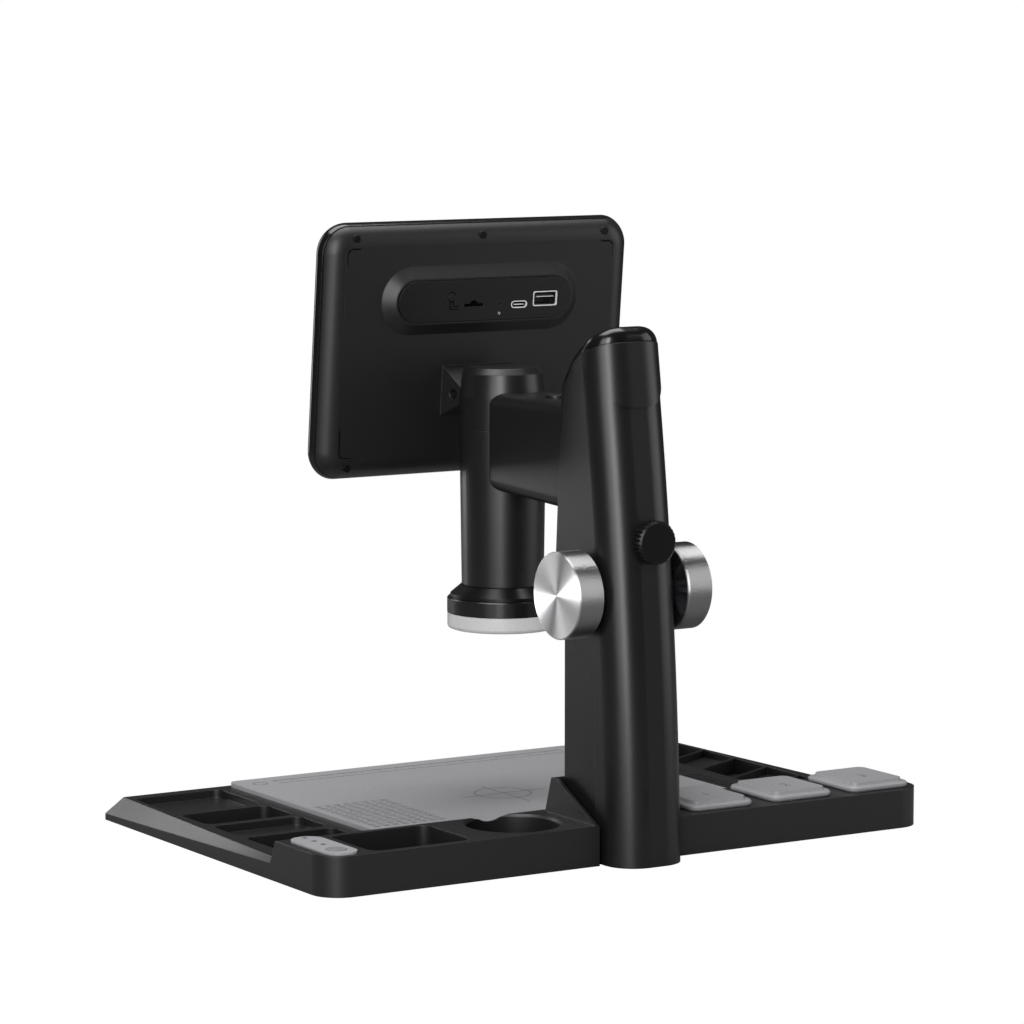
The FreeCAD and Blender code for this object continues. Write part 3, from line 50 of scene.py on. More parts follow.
camera_data.lens = 149.3
camera_data.sensor_width = 36.0
camera_data.clip_end = 50.0
camera = bpy.data.objects.new("camera", camera_data)
bpy.context.scene.collection.objects.link(camera)
camera.location = (1.0823, 1.7603, 0.4026)
looking = Vector((0.0085, 0.0224, 0.1571)) - camera.location
camera.rotation_mode = "QUATERNION"
camera.rotation_quaternion = looking.to_track_quat("-Z", "Y")
bpy.context.scene.camera = camera
bpy.context.scene.view_settings.view_transform = "Standard"


# Floor and light
# A white studio: pale floor, white backdrop, four tall soft boxes round the object and a large one overhead.
floor_mesh = bpy.data.meshes.new("floor")
floor_mesh.from_pydata([(-9, -9, 0), (9, -9, 0), (9, 9, 0), (-9, 9, 0)], [], [(0, 1, 2, 3)])
floor = bpy.data.objects.new("floor", floor_mesh)
bpy.context.scene.collection.objects.link(floor)
pale = bpy.data.materials.new("pale_floor")
pale.use_nodes = True
tree = pale.node_tree
surface = tree.nodes["Principled BSDF"]
surface.inputs["Base Color"].default_value = (0.22, 0.22, 0.22, 1)
surface.inputs["Roughness"].default_value = 0.9
surface.inputs["Specular IOR Level"].default_value = 0.1
white = tree.nodes.new("ShaderNodeEmission")
white.inputs["Strength"].default_value = 1.0
seen = tree.nodes.new("ShaderNodeLightPath")
blend = tree.nodes.new("ShaderNodeMixShader")
tree.links.new(seen.outputs["Is Camera Ray"], blend.inputs["Fac"])
tree.links.new(surface.outputs["BSDF"], blend.inputs[1])
tree.links.new(white.outputs["Emission"], blend.inputs[2])
tree.links.new(blend.outputs["Shader"], tree.nodes["Material Output"].inputs["Surface"])
floor_mesh.materials.append(pale)

world = bpy.data.worlds.new("studio")
bpy.context.scene.world = world
world.use_nodes = True
tree = world.node_tree
room = tree.nodes["Background"]
room.inputs["Color"].default_value = (1, 1, 1, 1)
room.inputs["Strength"].default_value = 0.06
backdrop = tree.nodes.new("ShaderNodeBackground")
backdrop.inputs["Color"].default_value = (1, 1, 1, 1)
backdrop.inputs["Strength"].default_value = 1.0
seen = tree.nodes.new("ShaderNodeLightPath")
blend = tree.nodes.new("ShaderNodeMixShader")
tree.links.new(seen.outputs["Is Camera Ray"], blend.inputs["Fac"])
tree.links.new(room.outputs["Background"], blend.inputs[1])
tree.links.new(backdrop.outputs["Background"], blend.inputs[2])
tree.links.new(blend.outputs["Shader"], tree.nodes["World Output"].inputs["Surface"])


def soft_box(name, azimuth, away, foot, width, height, power):
    """An upright light panel that faces the object from a compass direction."""
    lamp = bpy.data.lights.new(name, "AREA")
    lamp.shape = "RECTANGLE"
    lamp.size = width
    lamp.size_y = height
    lamp.energy = power
    holder = bpy.data.objects.new(name, lamp)
    bpy.context.scene.collection.objects.link(holder)
    outward = Vector((math.cos(math.radians(azimuth)), math.sin(math.radians(azimuth)), 0))
    holder.location = outward * away + Vector((0, 0.03, foot + height / 2))
    holder.rotation_mode = "QUATERNION"
    holder.rotation_quaternion = (-outward).to_track_quat("-Z", "Y")
    holder.visible_camera = False
    return holder


soft_box("key_strip", 52, 1.35, 0.0, 0.30, 1.4, 13)
soft_box("key_glow", 34, 1.35, 0.0, 0.50, 1.4, 7)
soft_box("front_panel", -68, 1.30, 0.0, 0.45, 1.0, 5)
soft_box("rear_panel", 148, 1.30, 0.0, 0.80, 1.2, 5)
overhead = bpy.data.lights.new("overhead", "AREA")
overhead.shape = "RECTANGLE"
overhead.size = 1.6
overhead.size_y = 1.0
overhead.energy = 27
overhead_holder = bpy.data.objects.new("overhead", overhead)
bpy.context.scene.collection.objects.link(overhead_holder)
overhead_holder.location = (0.0, -0.1, 1.7)
overhead_holder.visible_camera = False


# Base tray and bottom plate
# Black moulded plastic with a fine spark-eroded grain and softly worn edges.
def moulded(name, colour, roughness, grain=1800.0, depth=0.00002, edge=0.0004, metal=0.0, sheen=0.02):
    """A moulded or painted surface: fine grain, slow patches of gloss, and edges that catch the light."""
    material = bpy.data.materials.new(name)
    material.use_nodes = True
    tree = material.node_tree
    shader = tree.nodes["Principled BSDF"]
    shader.inputs["Metallic"].default_value = metal
    place = tree.nodes.new("ShaderNodeTexCoord")
    fine = tree.nodes.new("ShaderNodeTexNoise")
    fine.inputs["Scale"].default_value = grain
    fine.inputs["Detail"].default_value = 3.0
    slow = tree.nodes.new("ShaderNodeTexNoise")
    slow.inputs["Scale"].default_value = 22.0
    slow.inputs["Detail"].default_value = 4.0
    tree.links.new(place.outputs["Object"], fine.inputs["Vector"])
    tree.links.new(place.outputs["Object"], slow.inputs["Vector"])
    tone = tree.nodes.new("ShaderNodeValToRGB")
    tone.color_ramp.elements[0].position = 0.3
    tone.color_ramp.elements[1].position = 0.7
    tone.color_ramp.elements[0].color = (*[c * (1 - 3 * sheen) for c in colour], 1)
    tone.color_ramp.elements[1].color = (*[c * (1 + 3 * sheen) for c in colour], 1)
    tree.links.new(fine.outputs["Fac"], tone.inputs["Fac"])
    tree.links.new(tone.outputs["Color"], shader.inputs["Base Color"])
    gloss = tree.nodes.new("ShaderNodeMapRange")
    gloss.inputs["To Min"].default_value = roughness - sheen
    gloss.inputs["To Max"].default_value = roughness + sheen
    tree.links.new(slow.outputs["Fac"], gloss.inputs["Value"])
    tree.links.new(gloss.outputs["Result"], shader.inputs["Roughness"])
    rounded = tree.nodes.new("ShaderNodeBevel")
    rounded.samples = 4
    rounded.inputs["Radius"].default_value = edge
    bump = tree.nodes.new("ShaderNodeBump")
    bump.inputs["Distance"].default_value = depth
    bump.inputs["Strength"].default_value = 0.5
    tree.links.new(rounded.outputs["Normal"], bump.inputs["Normal"])
    tree.links.new(fine.outputs["Fac"], bump.inputs["Height"])
    tree.links.new(bump.outputs["Normal"], shader.inputs["Normal"])
    return material


def dress(material, *names):
    """Give CAD nodes one material."""
    for name in names:
        nodes[name].data.materials.clear()
        nodes[name].data.materials.append(material)


def new_piece(name, bm, body, material, smooth=False):
    """Turn a bmesh into a piece that rides on a body."""
    bmesh.ops.recalc_face_normals(bm, faces=bm.faces)
    mesh = bpy.data.meshes.new(name)
    bm.to_mesh(mesh)
    bm.free()
    if smooth:
        mesh.shade_smooth()
        mesh.set_sharp_from_angle(angle=math.radians(35))
    mesh.materials.append(material)
    piece = bpy.data.objects.new(name, mesh)
    bpy.context.scene.collection.objects.link(piece)
    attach(piece, body)
    return piece


black_moulding = moulded("black_moulding", (0.011, 0.011, 0.0115), 0.38, edge=0.0006)
dress(black_moulding, "base_tray", "bottom_plate", "light_button")


# Column and arm
# Satin black powder coat over a casting, a shade finer than the base.
black_coat = moulded("black_coat", (0.007, 0.007, 0.0075), 0.33, grain=2600.0, edge=0.0008)
dress(black_coat, "column_shell", "arm_shell", "barrel_tube", "barrel_head")


# Column cap
# A glossy rounded cap on the sloping top of the column, and the strip of column up to its parting line.
def parting_height(y):
    """The parting line seen from the side: a soft bend from the steep front to the flatter rear."""
    share = (-0.011 + math.sqrt(max(0.011 ** 2 + 4 * 0.0209 * (y - 0.0845), 0))) / (2 * 0.0209)
    return (1 - share) ** 2 * 0.2217 + 2 * share * (1 - share) * 0.2385 + share ** 2 * 0.246


def cap_depth(y):
    """How far the cap stands above the parting line."""
    return 0.0027 + 0.0061 * min(max((y - 0.0855) / 0.0265, 0), 1) ** 0.6


def column_outline(inset):
    """The column's plan: x, then y as shares of its front and rear edges, then an offset."""
    half, turn, nose = 0.0195 - inset, max(0.015 - inset, 0.0004), 0.0008
    right = [(half * k / 5, 1, 0, inset) for k in range(5)]
    right += [(half - nose + nose * math.sin(a), 1, 0, inset + nose - nose * math.cos(a))
              for a in (0.0, 0.5, 1.05, 1.57)]
    right += [(half, 1 - t, t, (inset + nose) * (1 - t) - (inset + turn) * t)
              for t in [k / 10 for k in range(1, 11)]]
    right += [(half - turn + turn * math.cos(a), 0, 1, -inset - turn + turn * math.sin(a))
              for a in [math.pi / 2 * k / 12 for k in range(1, 13)]]
    right += [((half - turn) * (1 - k / 3), 0, 1, -inset) for k in range(1, 4)]
    return right + [(-x, a, b, c) for x, a, b, c in reversed(right[1:-1])]


def column_ring(bm, inset, lift):
    """One loop of points round the column, raised from the parting line by lift(y)."""
    loop = []
    for x, front, rear, offset in column_outline(inset):
        z = 0.24
        for _ in range(8):
            y = (front * (0.0779 + 0.064 * (z - 0.117)) + rear * (0.1386 - 0.0216 * z - 0.2656 * z * z) + offset)
            z = parting_height(y) + lift(y)
        loop.append(bm.verts.new((x, y, z)))
    return loop


def skin(bm, rings, close=False):
    """Faces between neighbouring loops, and a deck of faces across the last one."""
    for low_ring, high_ring in zip(rings, rings[1:]):
        for k in range(len(low_ring)):
            m = (k + 1) % len(low_ring)
            bm.faces.new([low_ring[k], low_ring[m], high_ring[m], high_ring[k]])
    if close:
        last = rings[-1]
        for k in range(len(last) // 2):
            corners = [last[k], last[k + 1], last[-k - 1], last[-k]] if k else [last[0], last[1], last[-1]]
            bm.faces.new(list(dict.fromkeys(corners)))


bm = bmesh.new()
skin(bm, [column_ring(bm, -0.00008, lambda y: min(0.0145 - 0.85 * max(y - 0.0855, 0), 0)
                      - 0.0012 - 0.55 * max(y - 0.0955, 0)),
          column_ring(bm, -0.00008, lambda y: -0.0003),
          column_ring(bm, 0.0010, lambda y: -0.0003),
          column_ring(bm, 0.0010, lambda y: 0.0008)])
new_piece("column_top_strip", bm, "stand", black_coat, smooth=True)
bm = bmesh.new()
cap_rings = [column_ring(bm, 0.0011, lambda y: 0.0001), column_ring(bm, 0.0002, lambda y: 0.0001)]
for k in range(1, 10):
    turn = math.pi / 2 * k / 9
    cap_rings.append(column_ring(bm, 0.0002 + 0.0072 * (1 - math.cos(turn)),
                                 lambda y, s=math.sin(turn): cap_depth(y) * s))
for inset in (0.009, 0.011):
    cap_rings.append(column_ring(bm, inset, lambda y, i=inset: cap_depth(y) + 0.02 * (i - 0.0074)))
skin(bm, cap_rings, close=True)
cap_gloss = moulded("cap_gloss", (0.004, 0.004, 0.0042), 0.2, grain=2600.0, edge=0.0002)
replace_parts(new_piece("cap_crown", bm, "stand", cap_gloss, smooth=True), "column_cap")


# Rubber feet
# Dull black rubber.
dress(moulded("foot_rubber", (0.012, 0.012, 0.012), 0.7, grain=900.0), "rubber_feet")


# Work mat
# Grey silicone with a soft bloom, a target with cross hairs and a ruler along its front edge.
mat_grey = moulded("mat_grey", (0.29, 0.29, 0.303), 0.55, grain=1200.0, edge=0.0007, sheen=0.03)
dress(mat_grey, "work_mat")
line_grey = moulded("line_grey", (0.13, 0.13, 0.135), 0.6, grain=1200.0, edge=0.0001)
mat_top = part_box("work_mat")[1].z


def flat_strip(bm, start, end, width, z):
    """A thin raised line between two points on the mat."""
    along = (Vector(end) - Vector(start)).normalized()
    side = Vector((-along.y, along.x)) * width / 2
    corners = [Vector(start) - side, Vector(end) - side, Vector(end) + side, Vector(start) + side]
    low = [bm.verts.new((c.x, c.y, z - 0.00004)) for c in corners]
    high = [bm.verts.new((c.x, c.y, z + 0.00006)) for c in corners]
    bm.faces.new(high)
    bm.faces.new(list(reversed(low)))
    for i in range(4):
        j = (i + 1) % 4
        bm.faces.new([low[i], low[j], high[j], high[i]])


def flat_ring(bm, x, y, radius, width, z, sides=64):
    """A thin raised circle on the mat."""
    rings = []
    for r, h in ((radius - width / 2, -0.00004), (radius - width / 2, 0.00006),
                 (radius + width / 2, 0.00006), (radius + width / 2, -0.00004)):
        ring = []
        for k in range(sides):
            turn = 2 * math.pi * k / sides
            ring.append(bm.verts.new((x + r * math.cos(turn), y + r * math.sin(turn), z + h)))
        rings.append(ring)
    for a in range(4):
        for k in range(sides):
            m = (k + 1) % sides
            bm.faces.new([rings[a][k], rings[a][m], rings[(a + 1) % 4][m], rings[(a + 1) % 4][k]])


bm = bmesh.new()
flat_ring(bm, 0, 0, 0.014, 0.0006, mat_top)
flat_strip(bm, (-0.023, 0), (0.023, 0), 0.0006, mat_top)
flat_strip(bm, (0, -0.020), (0, 0.025), 0.0006, mat_top)
flat_ring(bm, 0.090, -0.085, 0.0035, 0.0006, mat_top)
new_piece("mat_target", bm, "stand", line_grey)
bm = bmesh.new()
flat_strip(bm, (-0.089, -0.0815), (0.081, -0.0815), 0.0005, mat_top)
flat_strip(bm, (-0.089, -0.0885), (0.081, -0.0885), 0.0005, mat_top)
for step in range(86):
    tick_x = -0.089 + 0.002 * step
    reach = 0.0034 if step % 5 == 0 else 0.0018
    flat_strip(bm, (tick_x, -0.0885), (tick_x, -0.0885 + reach), 0.0004, mat_top)
new_piece("mat_ruler", bm, "stand", line_grey)


# Lens lids
# Mid-grey plastic with a plain number raised on each lid.
lid_grey = moulded("lid_grey", (0.27, 0.27, 0.282), 0.42, grain=1500.0, edge=0.0008)
lid_mark = moulded("lid_mark", (0.13, 0.13, 0.14), 0.5, grain=1500.0, edge=0.0001)
for number in (1, 2, 3):
    name = "lens_lid_%d" % number
    dress(lid_grey, name)
    low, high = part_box(name)
    text = bpy.data.curves.new("lid_number_%d" % number, "FONT")
    text.body = str(number)
    text.size = 0.0085
    text.extrude = 0.00008
    text.align_x = "CENTER"
    text.align_y = "CENTER"
    drawn = bpy.data.objects.new("text", text)
    bpy.context.scene.collection.objects.link(drawn)
    bpy.context.view_layer.update()
    mesh = bpy.data.meshes.new_from_object(drawn)
    bpy.data.objects.remove(drawn)
    mesh.transform(Matrix.Translation(((low.x + high.x) / 2, (low.y + high.y) / 2 + 0.004, high.z))
                   @ Matrix.Rotation(math.pi, 4, "Z"))
    mesh.materials.clear()
    mesh.materials.append(lid_mark)
    piece = bpy.data.objects.new("lid_number_%d" % number, mesh)
    bpy.context.scene.collection.objects.link(piece)
    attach(piece, name)


# Control pad and its button
# Grey key pad with a darker round button and three small light pipes. The button's stem is 1 mm shorter
# than in the CAD, so it stays clear of the floor of its well at full press.
pad_grey = moulded("pad_grey", (0.30, 0.30, 0.315), 0.45, grain=1500.0, edge=0.0006)
dress(pad_grey, "control_pad")
button_grey = moulded("button_grey", (0.22, 0.22, 0.23), 0.4, edge=0.0006)
bm = bmesh.new()
bm.from_mesh(nodes["pad_button"].data)
bm.transform(nodes["pad_button"].matrix_world)
stem_height, stem_cut = 0.0170, 0.0010
for point in bm.verts:
    if point.co.z < stem_height:
        point.co.z += stem_cut
short_button = new_piece("short_button", bm, "pad_button", button_grey)
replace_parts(short_button, "pad_button")
dress(moulded("pad_dots", (0.06, 0.06, 0.065), 0.35, edge=0.0003), "pad_lights")


# Spare lenses, guide rods, shaft, rack and other metal inside
# Black anodised barrels, ground steel rods and machined brass.
def bare_metal(name, colour, roughness, stretch=(1.0, 1.0, 1.0), grain=900.0):
    """Machined metal with fine tool marks drawn out along one direction."""
    material = bpy.data.materials.new(name)
    material.use_nodes = True
    tree = material.node_tree
    shader = tree.nodes["Principled BSDF"]
    shader.inputs["Base Color"].default_value = (*colour, 1)
    shader.inputs["Metallic"].default_value = 1.0
    place = tree.nodes.new("ShaderNodeTexCoord")
    drawn = tree.nodes.new("ShaderNodeMapping")
    drawn.inputs["Scale"].default_value = stretch
    marks = tree.nodes.new("ShaderNodeTexNoise")
    marks.inputs["Scale"].default_value = grain
    marks.inputs["Detail"].default_value = 4.0
    tree.links.new(place.outputs["Object"], drawn.inputs["Vector"])
    tree.links.new(drawn.outputs["Vector"], marks.inputs["Vector"])
    gloss = tree.nodes.new("ShaderNodeMapRange")
    gloss.inputs["To Min"].default_value = roughness * 0.7
    gloss.inputs["To Max"].default_value = roughness * 1.3
    tree.links.new(marks.outputs["Fac"], gloss.inputs["Value"])
    tree.links.new(gloss.outputs["Result"], shader.inputs["Roughness"])
    bump = tree.nodes.new("ShaderNodeBump")
    bump.inputs["Distance"].default_value = 0.00001
    bump.inputs["Strength"].default_value = 0.4
    tree.links.new(marks.outputs["Fac"], bump.inputs["Height"])
    tree.links.new(bump.outputs["Normal"], shader.inputs["Normal"])
    return material


steel = bare_metal("ground_steel", (0.56, 0.56, 0.57), 0.25, (1, 1, 0.05))
brass = bare_metal("machined_brass", (0.75, 0.55, 0.24), 0.28, (0.1, 1, 1))
black_anodised = moulded("black_anodised", (0.012, 0.012, 0.013), 0.28, grain=2400.0, metal=0.6)
dress(steel, "guide_rods", "focus_shaft", "lock_screw", "friction_washers", "foot_bracket")
dress(brass, "focus_rack", "focus_pinion", "lock_bush", "brake_shoe")
dress(black_anodised, "spare_lens_1", "spare_lens_2", "spare_lens_3", "carriage", "objective_cell",
      "shaft_bushes", "cover_screws", "hinge_pin")


# Focus knobs
# Spun aluminium cups: a circular turned face and a finely stippled rim, on black ribbed inserts.
def spun_aluminium(name):
    material = bpy.data.materials.new(name)
    material.use_nodes = True
    tree = material.node_tree
    shader = tree.nodes["Principled BSDF"]
    shader.inputs["Metallic"].default_value = 1.0
    shader.inputs["Anisotropic"].default_value = 0.95
    shader.inputs["Anisotropic Rotation"].default_value = 0.25
    tangent = tree.nodes.new("ShaderNodeTangent")
    tangent.direction_type = "RADIAL"
    tangent.axis = "X"
    tree.links.new(tangent.outputs["Tangent"], shader.inputs["Tangent"])
    place = tree.nodes.new("ShaderNodeTexCoord")
    stipple = tree.nodes.new("ShaderNodeTexVoronoi")
    stipple.inputs["Scale"].default_value = 900.0
    tree.links.new(place.outputs["Object"], stipple.inputs["Vector"])
    shape = tree.nodes.new("ShaderNodeNewGeometry")
    parts = tree.nodes.new("ShaderNodeSeparateXYZ")
    tree.links.new(shape.outputs["True Normal"], parts.inputs["Vector"])
    facing = tree.nodes.new("ShaderNodeMath")
    facing.operation = "ABSOLUTE"
    tree.links.new(parts.outputs["X"], facing.inputs[0])
    rim = tree.nodes.new("ShaderNodeMapRange")
    rim.inputs["From Min"].default_value = 0.3
    rim.inputs["From Max"].default_value = 0.7
    rim.inputs["To Min"].default_value = 1.0
    rim.inputs["To Max"].default_value = 0.0
    tree.links.new(facing.outputs["Value"], rim.inputs["Value"])
    tint = tree.nodes.new("ShaderNodeValToRGB")
    tint.color_ramp.elements[0].color = (0.62, 0.62, 0.63, 1)
    tint.color_ramp.elements[1].color = (0.40, 0.40, 0.405, 1)
    tree.links.new(rim.outputs["Result"], tint.inputs["Fac"])
    tree.links.new(tint.outputs["Color"], shader.inputs["Base Color"])
    strength = tree.nodes.new("ShaderNodeMath")
    strength.operation = "MULTIPLY"
    strength.inputs[1].default_value = 0.5
    tree.links.new(rim.outputs["Result"], strength.inputs[0])
    gloss = tree.nodes.new("ShaderNodeMapRange")
    gloss.inputs["To Min"].default_value = 0.42
    gloss.inputs["To Max"].default_value = 0.45
    tree.links.new(rim.outputs["Result"], gloss.inputs["Value"])
    tree.links.new(gloss.outputs["Result"], shader.inputs["Roughness"])
    bump = tree.nodes.new("ShaderNodeBump")
    bump.inputs["Distance"].default_value = 0.00012
    tree.links.new(strength.outputs["Value"], bump.inputs["Strength"])
    tree.links.new(stipple.outputs["Distance"], bump.inputs["Height"])
    tree.links.new(bump.outputs["Normal"], shader.inputs["Normal"])
    return material


dress(spun_aluminium("spun_aluminium"), "knob_cup_left", "knob_cup_right")
lit_metal = bpy.data.collections.new("lit_metal")
for cup in ("knob_cup_left", "knob_cup_right"):
    lit_metal.objects.link(nodes[cup])
soft_box("knob_strip", -24, 1.2, 0.0, 0.34, 0.22, 6).light_linking.receiver_collection = lit_metal



# Lock knob
# Black anodised grip.
dress(black_anodised, "lock_knob")


# Optical head
# Black collar and housing, a frosted light ring, and the coated lens inside it.
dress(black_anodised, "barrel_collar")
dress(moulded("ring_black", (0.008, 0.008, 0.009), 0.22, grain=2600.0, edge=0.0004), "light_ring_housing")
frosted = moulded("frosted_ring", (0.70, 0.70, 0.70), 0.4, grain=1400.0, edge=0.0004)
frosted_shader = frosted.node_tree.nodes["Principled BSDF"]
frosted_shader.inputs["Transmission Weight"].default_value = 0.15
frosted_shader.inputs["IOR"].default_value = 1.49
dress(frosted, "light_diffuser")
board_green = moulded("board_green", (0.015, 0.09, 0.03), 0.4, grain=700.0)
dress(board_green, "led_board", "camera_board", "main_board")
coated_glass = moulded("coated_glass", (0.55, 0.6, 0.8), 0.04, grain=300.0, edge=0.0001, sheen=0.005)
glass_shader = coated_glass.node_tree.nodes["Principled BSDF"]
glass_shader.inputs["Transmission Weight"].default_value = 0.9
glass_shader.inputs["Coat Weight"].default_value = 0.6
dress(coated_glass, "objective_glass")


# Screen
# Satin rear cover, glossy front frame and display, and a smooth panel with the sockets.
cover_black = moulded("cover_black", (0.0085, 0.0085, 0.009), 0.4, grain=2200.0, edge=0.0008)
dress(cover_black, "rear_cover")
gloss_black = moulded("gloss_black", (0.006, 0.006, 0.0065), 0.16, grain=2600.0, edge=0.0005)
dress(gloss_black, "front_bezel", "reset_key")
dress(moulded("display_black", (0.004, 0.005, 0.009), 0.05, grain=200.0, edge=0.0002, sheen=0.01), "display_panel")
dress(black_moulding, "front_key_1", "front_key_2", "front_key_3", "front_key_4", "card_socket")
# Painted shade: the USB sockets are near-black all through so that their mouths read dark, though their shells are
# steel.
dress(moulded("socket_painted_shade", (0.006, 0.006, 0.006), 0.5), "usb_a_socket", "usb_c_socket")
dress(moulded("cell_blue", (0.02, 0.06, 0.2), 0.4), "battery")


# Screen housing
# The rear cover is the CAD shape with its rim taken off and its socket area lifted. The rim and the front
# frame are swept on softer arcs. The frame's window and key holes are cut in its flat face only.
screen_frame = Matrix.Translation((0, -0.0319, 0.2339)) @ Matrix.Rotation(math.radians(-5.8), 4, "X")
half_x, half_z, corner = 0.088, 0.0634, 0.015
rear_face, front_face, split = 0.0087, -0.0088, 0.003
rear_round, front_round = 0.0115, 0.0105
hidden_lip = 0.0032
socket_x, socket_z, socket_middle, socket_lift = 0.062, 0.0182, 0.0232, 0.002


def rim_inset(x, z):
    """How far a point lies inside the screen's outline."""
    over_x, over_z = abs(x) - (half_x - corner), abs(z) - (half_z - corner)
    if over_x > 0 and over_z > 0:
        return max(corner - math.hypot(over_x, over_z), 0)
    return max(min(half_x - abs(x), half_z - abs(z)), 0)


def arc_drop(inset, radius):
    """How far a quarter round has fallen below its flat face."""
    reach = max(radius - inset, 0)
    return radius - math.sqrt(radius ** 2 - reach ** 2)


def trimmed_cover(name, node, material):
    """A copy of the rear cover without its rim, its socket area lifted."""
    bm = bmesh.new()
    bm.from_mesh(nodes[node].data)
    bm.transform(screen_frame.inverted() @ nodes[node].matrix_world)
    for inset in (rear_round, rear_round + 0.0008, rear_round + 0.002):
        for where, facing in (((half_x - inset, 0, 0), (1, 0, 0)), ((inset - half_x, 0, 0), (1, 0, 0)),
                              ((0, 0, half_z - inset), (0, 0, 1)), ((0, 0, inset - half_z), (0, 0, 1))):
            bmesh.ops.bisect_plane(bm, geom=bm.verts[:] + bm.edges[:] + bm.faces[:], dist=1e-7,
                                   plane_co=where, plane_no=facing)
    for point in bm.verts:
        if abs(point.co.x) < socket_x and abs(point.co.z - socket_middle) < socket_z:
            point.co.z += socket_lift
    bmesh.ops.remove_doubles(bm, verts=bm.verts[:], dist=0.000005)
    bmesh.ops.dissolve_degenerate(bm, edges=bm.edges[:], dist=0.000005)
    outer = [face for face in bm.faces
             if any(rim_inset(p.co.x, p.co.z) < rear_round - 0.0001 for p in face.verts)]
    bmesh.ops.delete(bm, geom=outer, context="FACES")
    bm.faces.index_update()
    level = {face.index for face in bm.faces if all(abs(p.co.y - rear_face) < 0.00003 for p in face.verts)}
    sharp = []
    for edge in bm.edges:
        middle = (edge.verts[0].co + edge.verts[1].co) / 2
        borders = len([f for f in edge.link_faces if f.index in level]) == 1
        sharp.append(edge.calc_face_angle(0) > math.radians(21)
                     or (borders and rim_inset(middle.x, middle.z) > rear_round + 0.001))
    bm.transform(screen_frame)
    housing = new_piece(name, bm, "screen", material, smooth=True)
    for edge, is_sharp in zip(housing.data.edges, sharp):
        edge.use_edge_sharp = is_sharp
    even = housing.modifiers.new("even_shading", "WEIGHTED_NORMAL")
    even.keep_sharp = True
    even.weight = 80
    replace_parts(housing, node)


trimmed_cover("rear_housing", "rear_cover", cover_black)


def rounded_loop(width, height, radius, x, z, steps=8):
    """A rounded rectangle in the screen's plane."""
    points = []
    for quarter, (side_x, side_z) in enumerate(((1, 1), (-1, 1), (-1, -1), (1, -1))):
        for k in range(steps + 1):
            turn = math.pi / 2 * (quarter + k / steps)
            points.append((x + side_x * (width / 2 - radius) + radius * math.cos(turn),
                           z + side_z * (height / 2 - radius) + radius * math.sin(turn)))
    return points


def frame_ring(bm, inset, y):
    """One loop of the frame's outline, moved inwards."""
    return [bm.verts.new((x, y, z)) for x, z in rounded_loop(
        2 * (half_x - inset), 2 * (half_z - inset), max(corner - inset, 0.001), 0, 0, steps=16)]


def swept_rim(profile):
    """The bands of a rim, one ring for each inset and depth."""
    bm = bmesh.new()
    rings = [frame_ring(bm, inset, y) for inset, y in profile]
    for low_ring, high_ring in zip(rings, rings[1:]):
        for k in range(len(low_ring)):
            m = (k + 1) % len(low_ring)
            bm.faces.new([low_ring[k], low_ring[m], high_ring[m], high_ring[k]])
    return bm, rings


rear_profile = [(hidden_lip, split)]
rear_profile += [(inset, rear_face - arc_drop(inset, rear_round)) for inset in
                 [rear_round * (1 - math.cos(math.pi * k / 40)) for k in range(7, 20)]]
rear_profile += [(rear_round, rear_face + 0.00001), (rear_round + 0.0003, rear_face - 0.0002)]
bm, rings = swept_rim(rear_profile)
bmesh.ops.reverse_faces(bm, faces=bm.faces[:])
bm.transform(screen_frame)
rear_rim = new_piece("rear_rim", bm, "screen", cover_black, smooth=True)
rear_rim.modifiers.new("even_shading", "WEIGHTED_NORMAL").keep_sharp = True

front_profile = [(hidden_lip, split - 0.0003)]
front_profile += [(inset, rear_face - arc_drop(inset, rear_round))
                  for inset in (0.0014, 0.0011, 0.0008, 0.00055, 0.00035, 0.00024)]
front_profile += [(inset, front_face + arc_drop(inset, front_round)) for inset in
                  [front_round * (1 - math.cos(math.pi * k / 32)) for k in range(3, 16)] + [front_round]]
bm, rings = swept_rim(front_profile)
window_side, window_top, window_foot, window_corner = 0.0108, 0.0106, 0.0230, 0.0020
key_gap, return_depth = 0.00025, 0.0018
holes = [rounded_loop(2 * half_x - 2 * window_side, 2 * half_z - window_top - window_foot, window_corner,
                      0, (window_foot - window_top) / 2)]
for number in (1, 2, 3, 4):
    low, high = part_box("front_key_%d" % number)
    key = screen_frame.inverted() @ ((low + high) / 2)
    reach = (high.x - low.x) / 2 + key_gap
    holes.append(rounded_loop(2 * reach, 2 * reach, reach - 0.00001, key.x, key.z))
face_edges = [bm.edges.get(pair) for pair in zip(rings[-1], rings[-1][1:] + rings[-1][:1])]
for loop in holes:
    upper = [bm.verts.new((x, front_face, z)) for x, z in loop]
    lower = [bm.verts.new((x, front_face + return_depth, z)) for x, z in loop]
    for k in range(len(loop)):
        m = (k + 1) % len(loop)
        bm.faces.new([upper[k], upper[m], lower[m], lower[k]])
        face_edges.append(bm.edges.get((upper[k], upper[m])))
bmesh.ops.triangle_fill(bm, use_beauty=True, edges=face_edges)
bm.transform(screen_frame)
front_frame = new_piece("front_frame", bm, "screen", gloss_black, smooth=True)
front_frame.modifiers.new("even_shading", "WEIGHTED_NORMAL").keep_sharp = True
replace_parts(front_frame, "front_bezel")
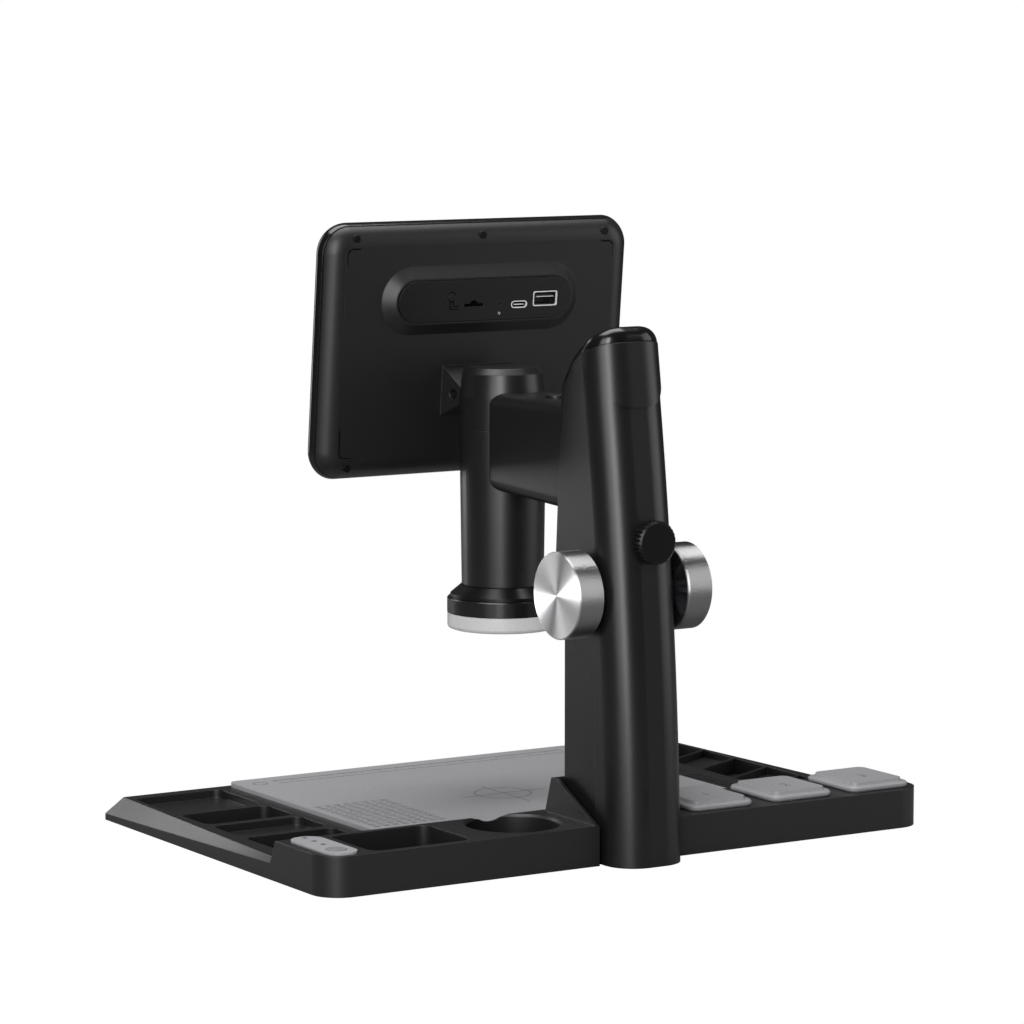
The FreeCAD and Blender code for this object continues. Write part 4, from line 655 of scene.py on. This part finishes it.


# Socket panel
# A flat pill-shaped panel with its openings, thin bright rims and tongues in the sockets, a card slot,
# a small lamp and a sprung reset key with a cut line round it. The near-black sheets behind the openings
# and the strips of the cut line are painted shade.
def screen_plate(name, parts, low, high, material, body="screen"):
    """Flat plates on the screen's back. Each part is an outline and its openings."""
    bm = bmesh.new()
    for loops in parts:
        tops, bottoms = [], []
        for loop in loops:
            upper = [bm.verts.new((x, high, z)) for x, z in loop]
            lower = [bm.verts.new((x, low, z)) for x, z in loop]
            for k in range(len(loop)):
                m = (k + 1) % len(loop)
                bm.faces.new([upper[k], upper[m], lower[m], lower[k]])
                tops.append(bm.edges.get((upper[k], upper[m])))
                bottoms.append(bm.edges.get((lower[k], lower[m])))
        bmesh.ops.triangle_fill(bm, use_beauty=True, edges=tops)
        bmesh.ops.triangle_fill(bm, use_beauty=True, edges=bottoms)
    bm.transform(screen_frame)
    return new_piece(name, bm, body, material)


def strip_loop(x, z, width, height):
    """A plain rectangle in the screen's plane."""
    return [(x + width / 2, z + height / 2), (x - width / 2, z + height / 2),
            (x - width / 2, z - height / 2), (x + width / 2, z - height / 2)]


card_slot = [(0.0123, 0.0220), (0.0123, 0.0235)]
card_slot += [(0.0068 + 0.0022 * math.cos(math.pi * k / 10), 0.0235 + 0.0015 * math.sin(math.pi * k / 10))
              for k in range(11)]
card_slot += [(0.0013, 0.0235), (0.0013, 0.0220)]
panel_black = moulded("panel_black", (0.006, 0.006, 0.0065), 0.3, grain=2600.0, edge=0.0004)
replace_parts(screen_plate("socket_panel", [[
    rounded_loop(0.0985, 0.0203, 0.01015, 0, 0.0252, steps=16),
    rounded_loop(0.0138, 0.0072, 0.0008, -0.0342, 0.0246),
    rounded_loop(0.0090, 0.0034, 0.0016, -0.0192, 0.0222),
    card_slot,
    rounded_loop(0.0009, 0.0009, 0.00044, -0.0079, 0.0227, steps=3),
    rounded_loop(0.0050, 0.0050, 0.00249, 0.0195, 0.0270)]],
    0.0122, 0.0138, panel_black), "port_panel")
socket_steel = bare_metal("socket_steel", (0.85, 0.85, 0.86), 0.3)
socket_steel.node_tree.nodes["Principled BSDF"].inputs["Metallic"].default_value = 0.25
screen_plate("socket_rims", [
    [rounded_loop(0.0139, 0.0074, 0.0010, -0.0342, 0.0246), rounded_loop(0.0129, 0.0064, 0.0008, -0.0342, 0.0246)],
    [rounded_loop(0.0092, 0.0036, 0.0017, -0.0192, 0.0222), rounded_loop(0.0082, 0.0026, 0.0012, -0.0192, 0.0222)],
    [strip_loop(-0.0342, 0.0256, 0.0094, 0.0003)],
    [strip_loop(-0.0192, 0.0222, 0.0054, 0.0004)]],
    0.0130, 0.0140, socket_steel)
# Painted shade: near-black sheets behind the card slot, the pin hole and the gap round the reset key stand in for the
# shade inside these openings.
shade_black = moulded("painted_shade_black", (0.0008, 0.0008, 0.0008), 0.9, grain=600.0)
shade_black.node_tree.nodes["Principled BSDF"].inputs["Specular IOR Level"].default_value = 0.05
screen_plate("slot_painted_shade", [[strip_loop(0.0068, 0.0230, 0.0124, 0.0040)], [strip_loop(-0.0079, 0.0227, 0.0014, 0.0014)],
                            [rounded_loop(0.0052, 0.0052, 0.00259, 0.0195, 0.0270)]],
             0.0119, 0.0123, shade_black)
# Painted shade: flat near-black strips drawn for the reset key's cut line, in place of the shade in a groove.
screen_plate("reset_cut_shade", [[strip_loop(0.0204, 0.0229, 0.0004, 0.0037)], [strip_loop(0.0180, 0.0211, 0.0051, 0.0004)],
                           [strip_loop(0.01865, 0.0236, 0.0004, 0.0023)], [strip_loop(0.0169, 0.0225, 0.0038, 0.0004)]],
             0.0136, 0.01386, shade_black)
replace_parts(screen_plate("reset_button", [[rounded_loop(0.0041, 0.0041, 0.00204, 0.0195, 0.0270)]],
                         0.0128, 0.0139, panel_black, body="reset_key"), "reset_key")
lamp_clear = moulded("lamp_clear", (0.75, 0.78, 0.80), 0.2, edge=0.0001)
lamp_clear.node_tree.nodes["Principled BSDF"].inputs["Emission Color"].default_value = (1, 1, 1, 1)
lamp_clear.node_tree.nodes["Principled BSDF"].inputs["Emission Strength"].default_value = 0.6
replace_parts(screen_plate("status_lamp", [[rounded_loop(0.0010, 0.0013, 0.0005, -0.0079, 0.0182, steps=3)]],
                         0.0136, 0.0140, lamp_clear), "status_light")
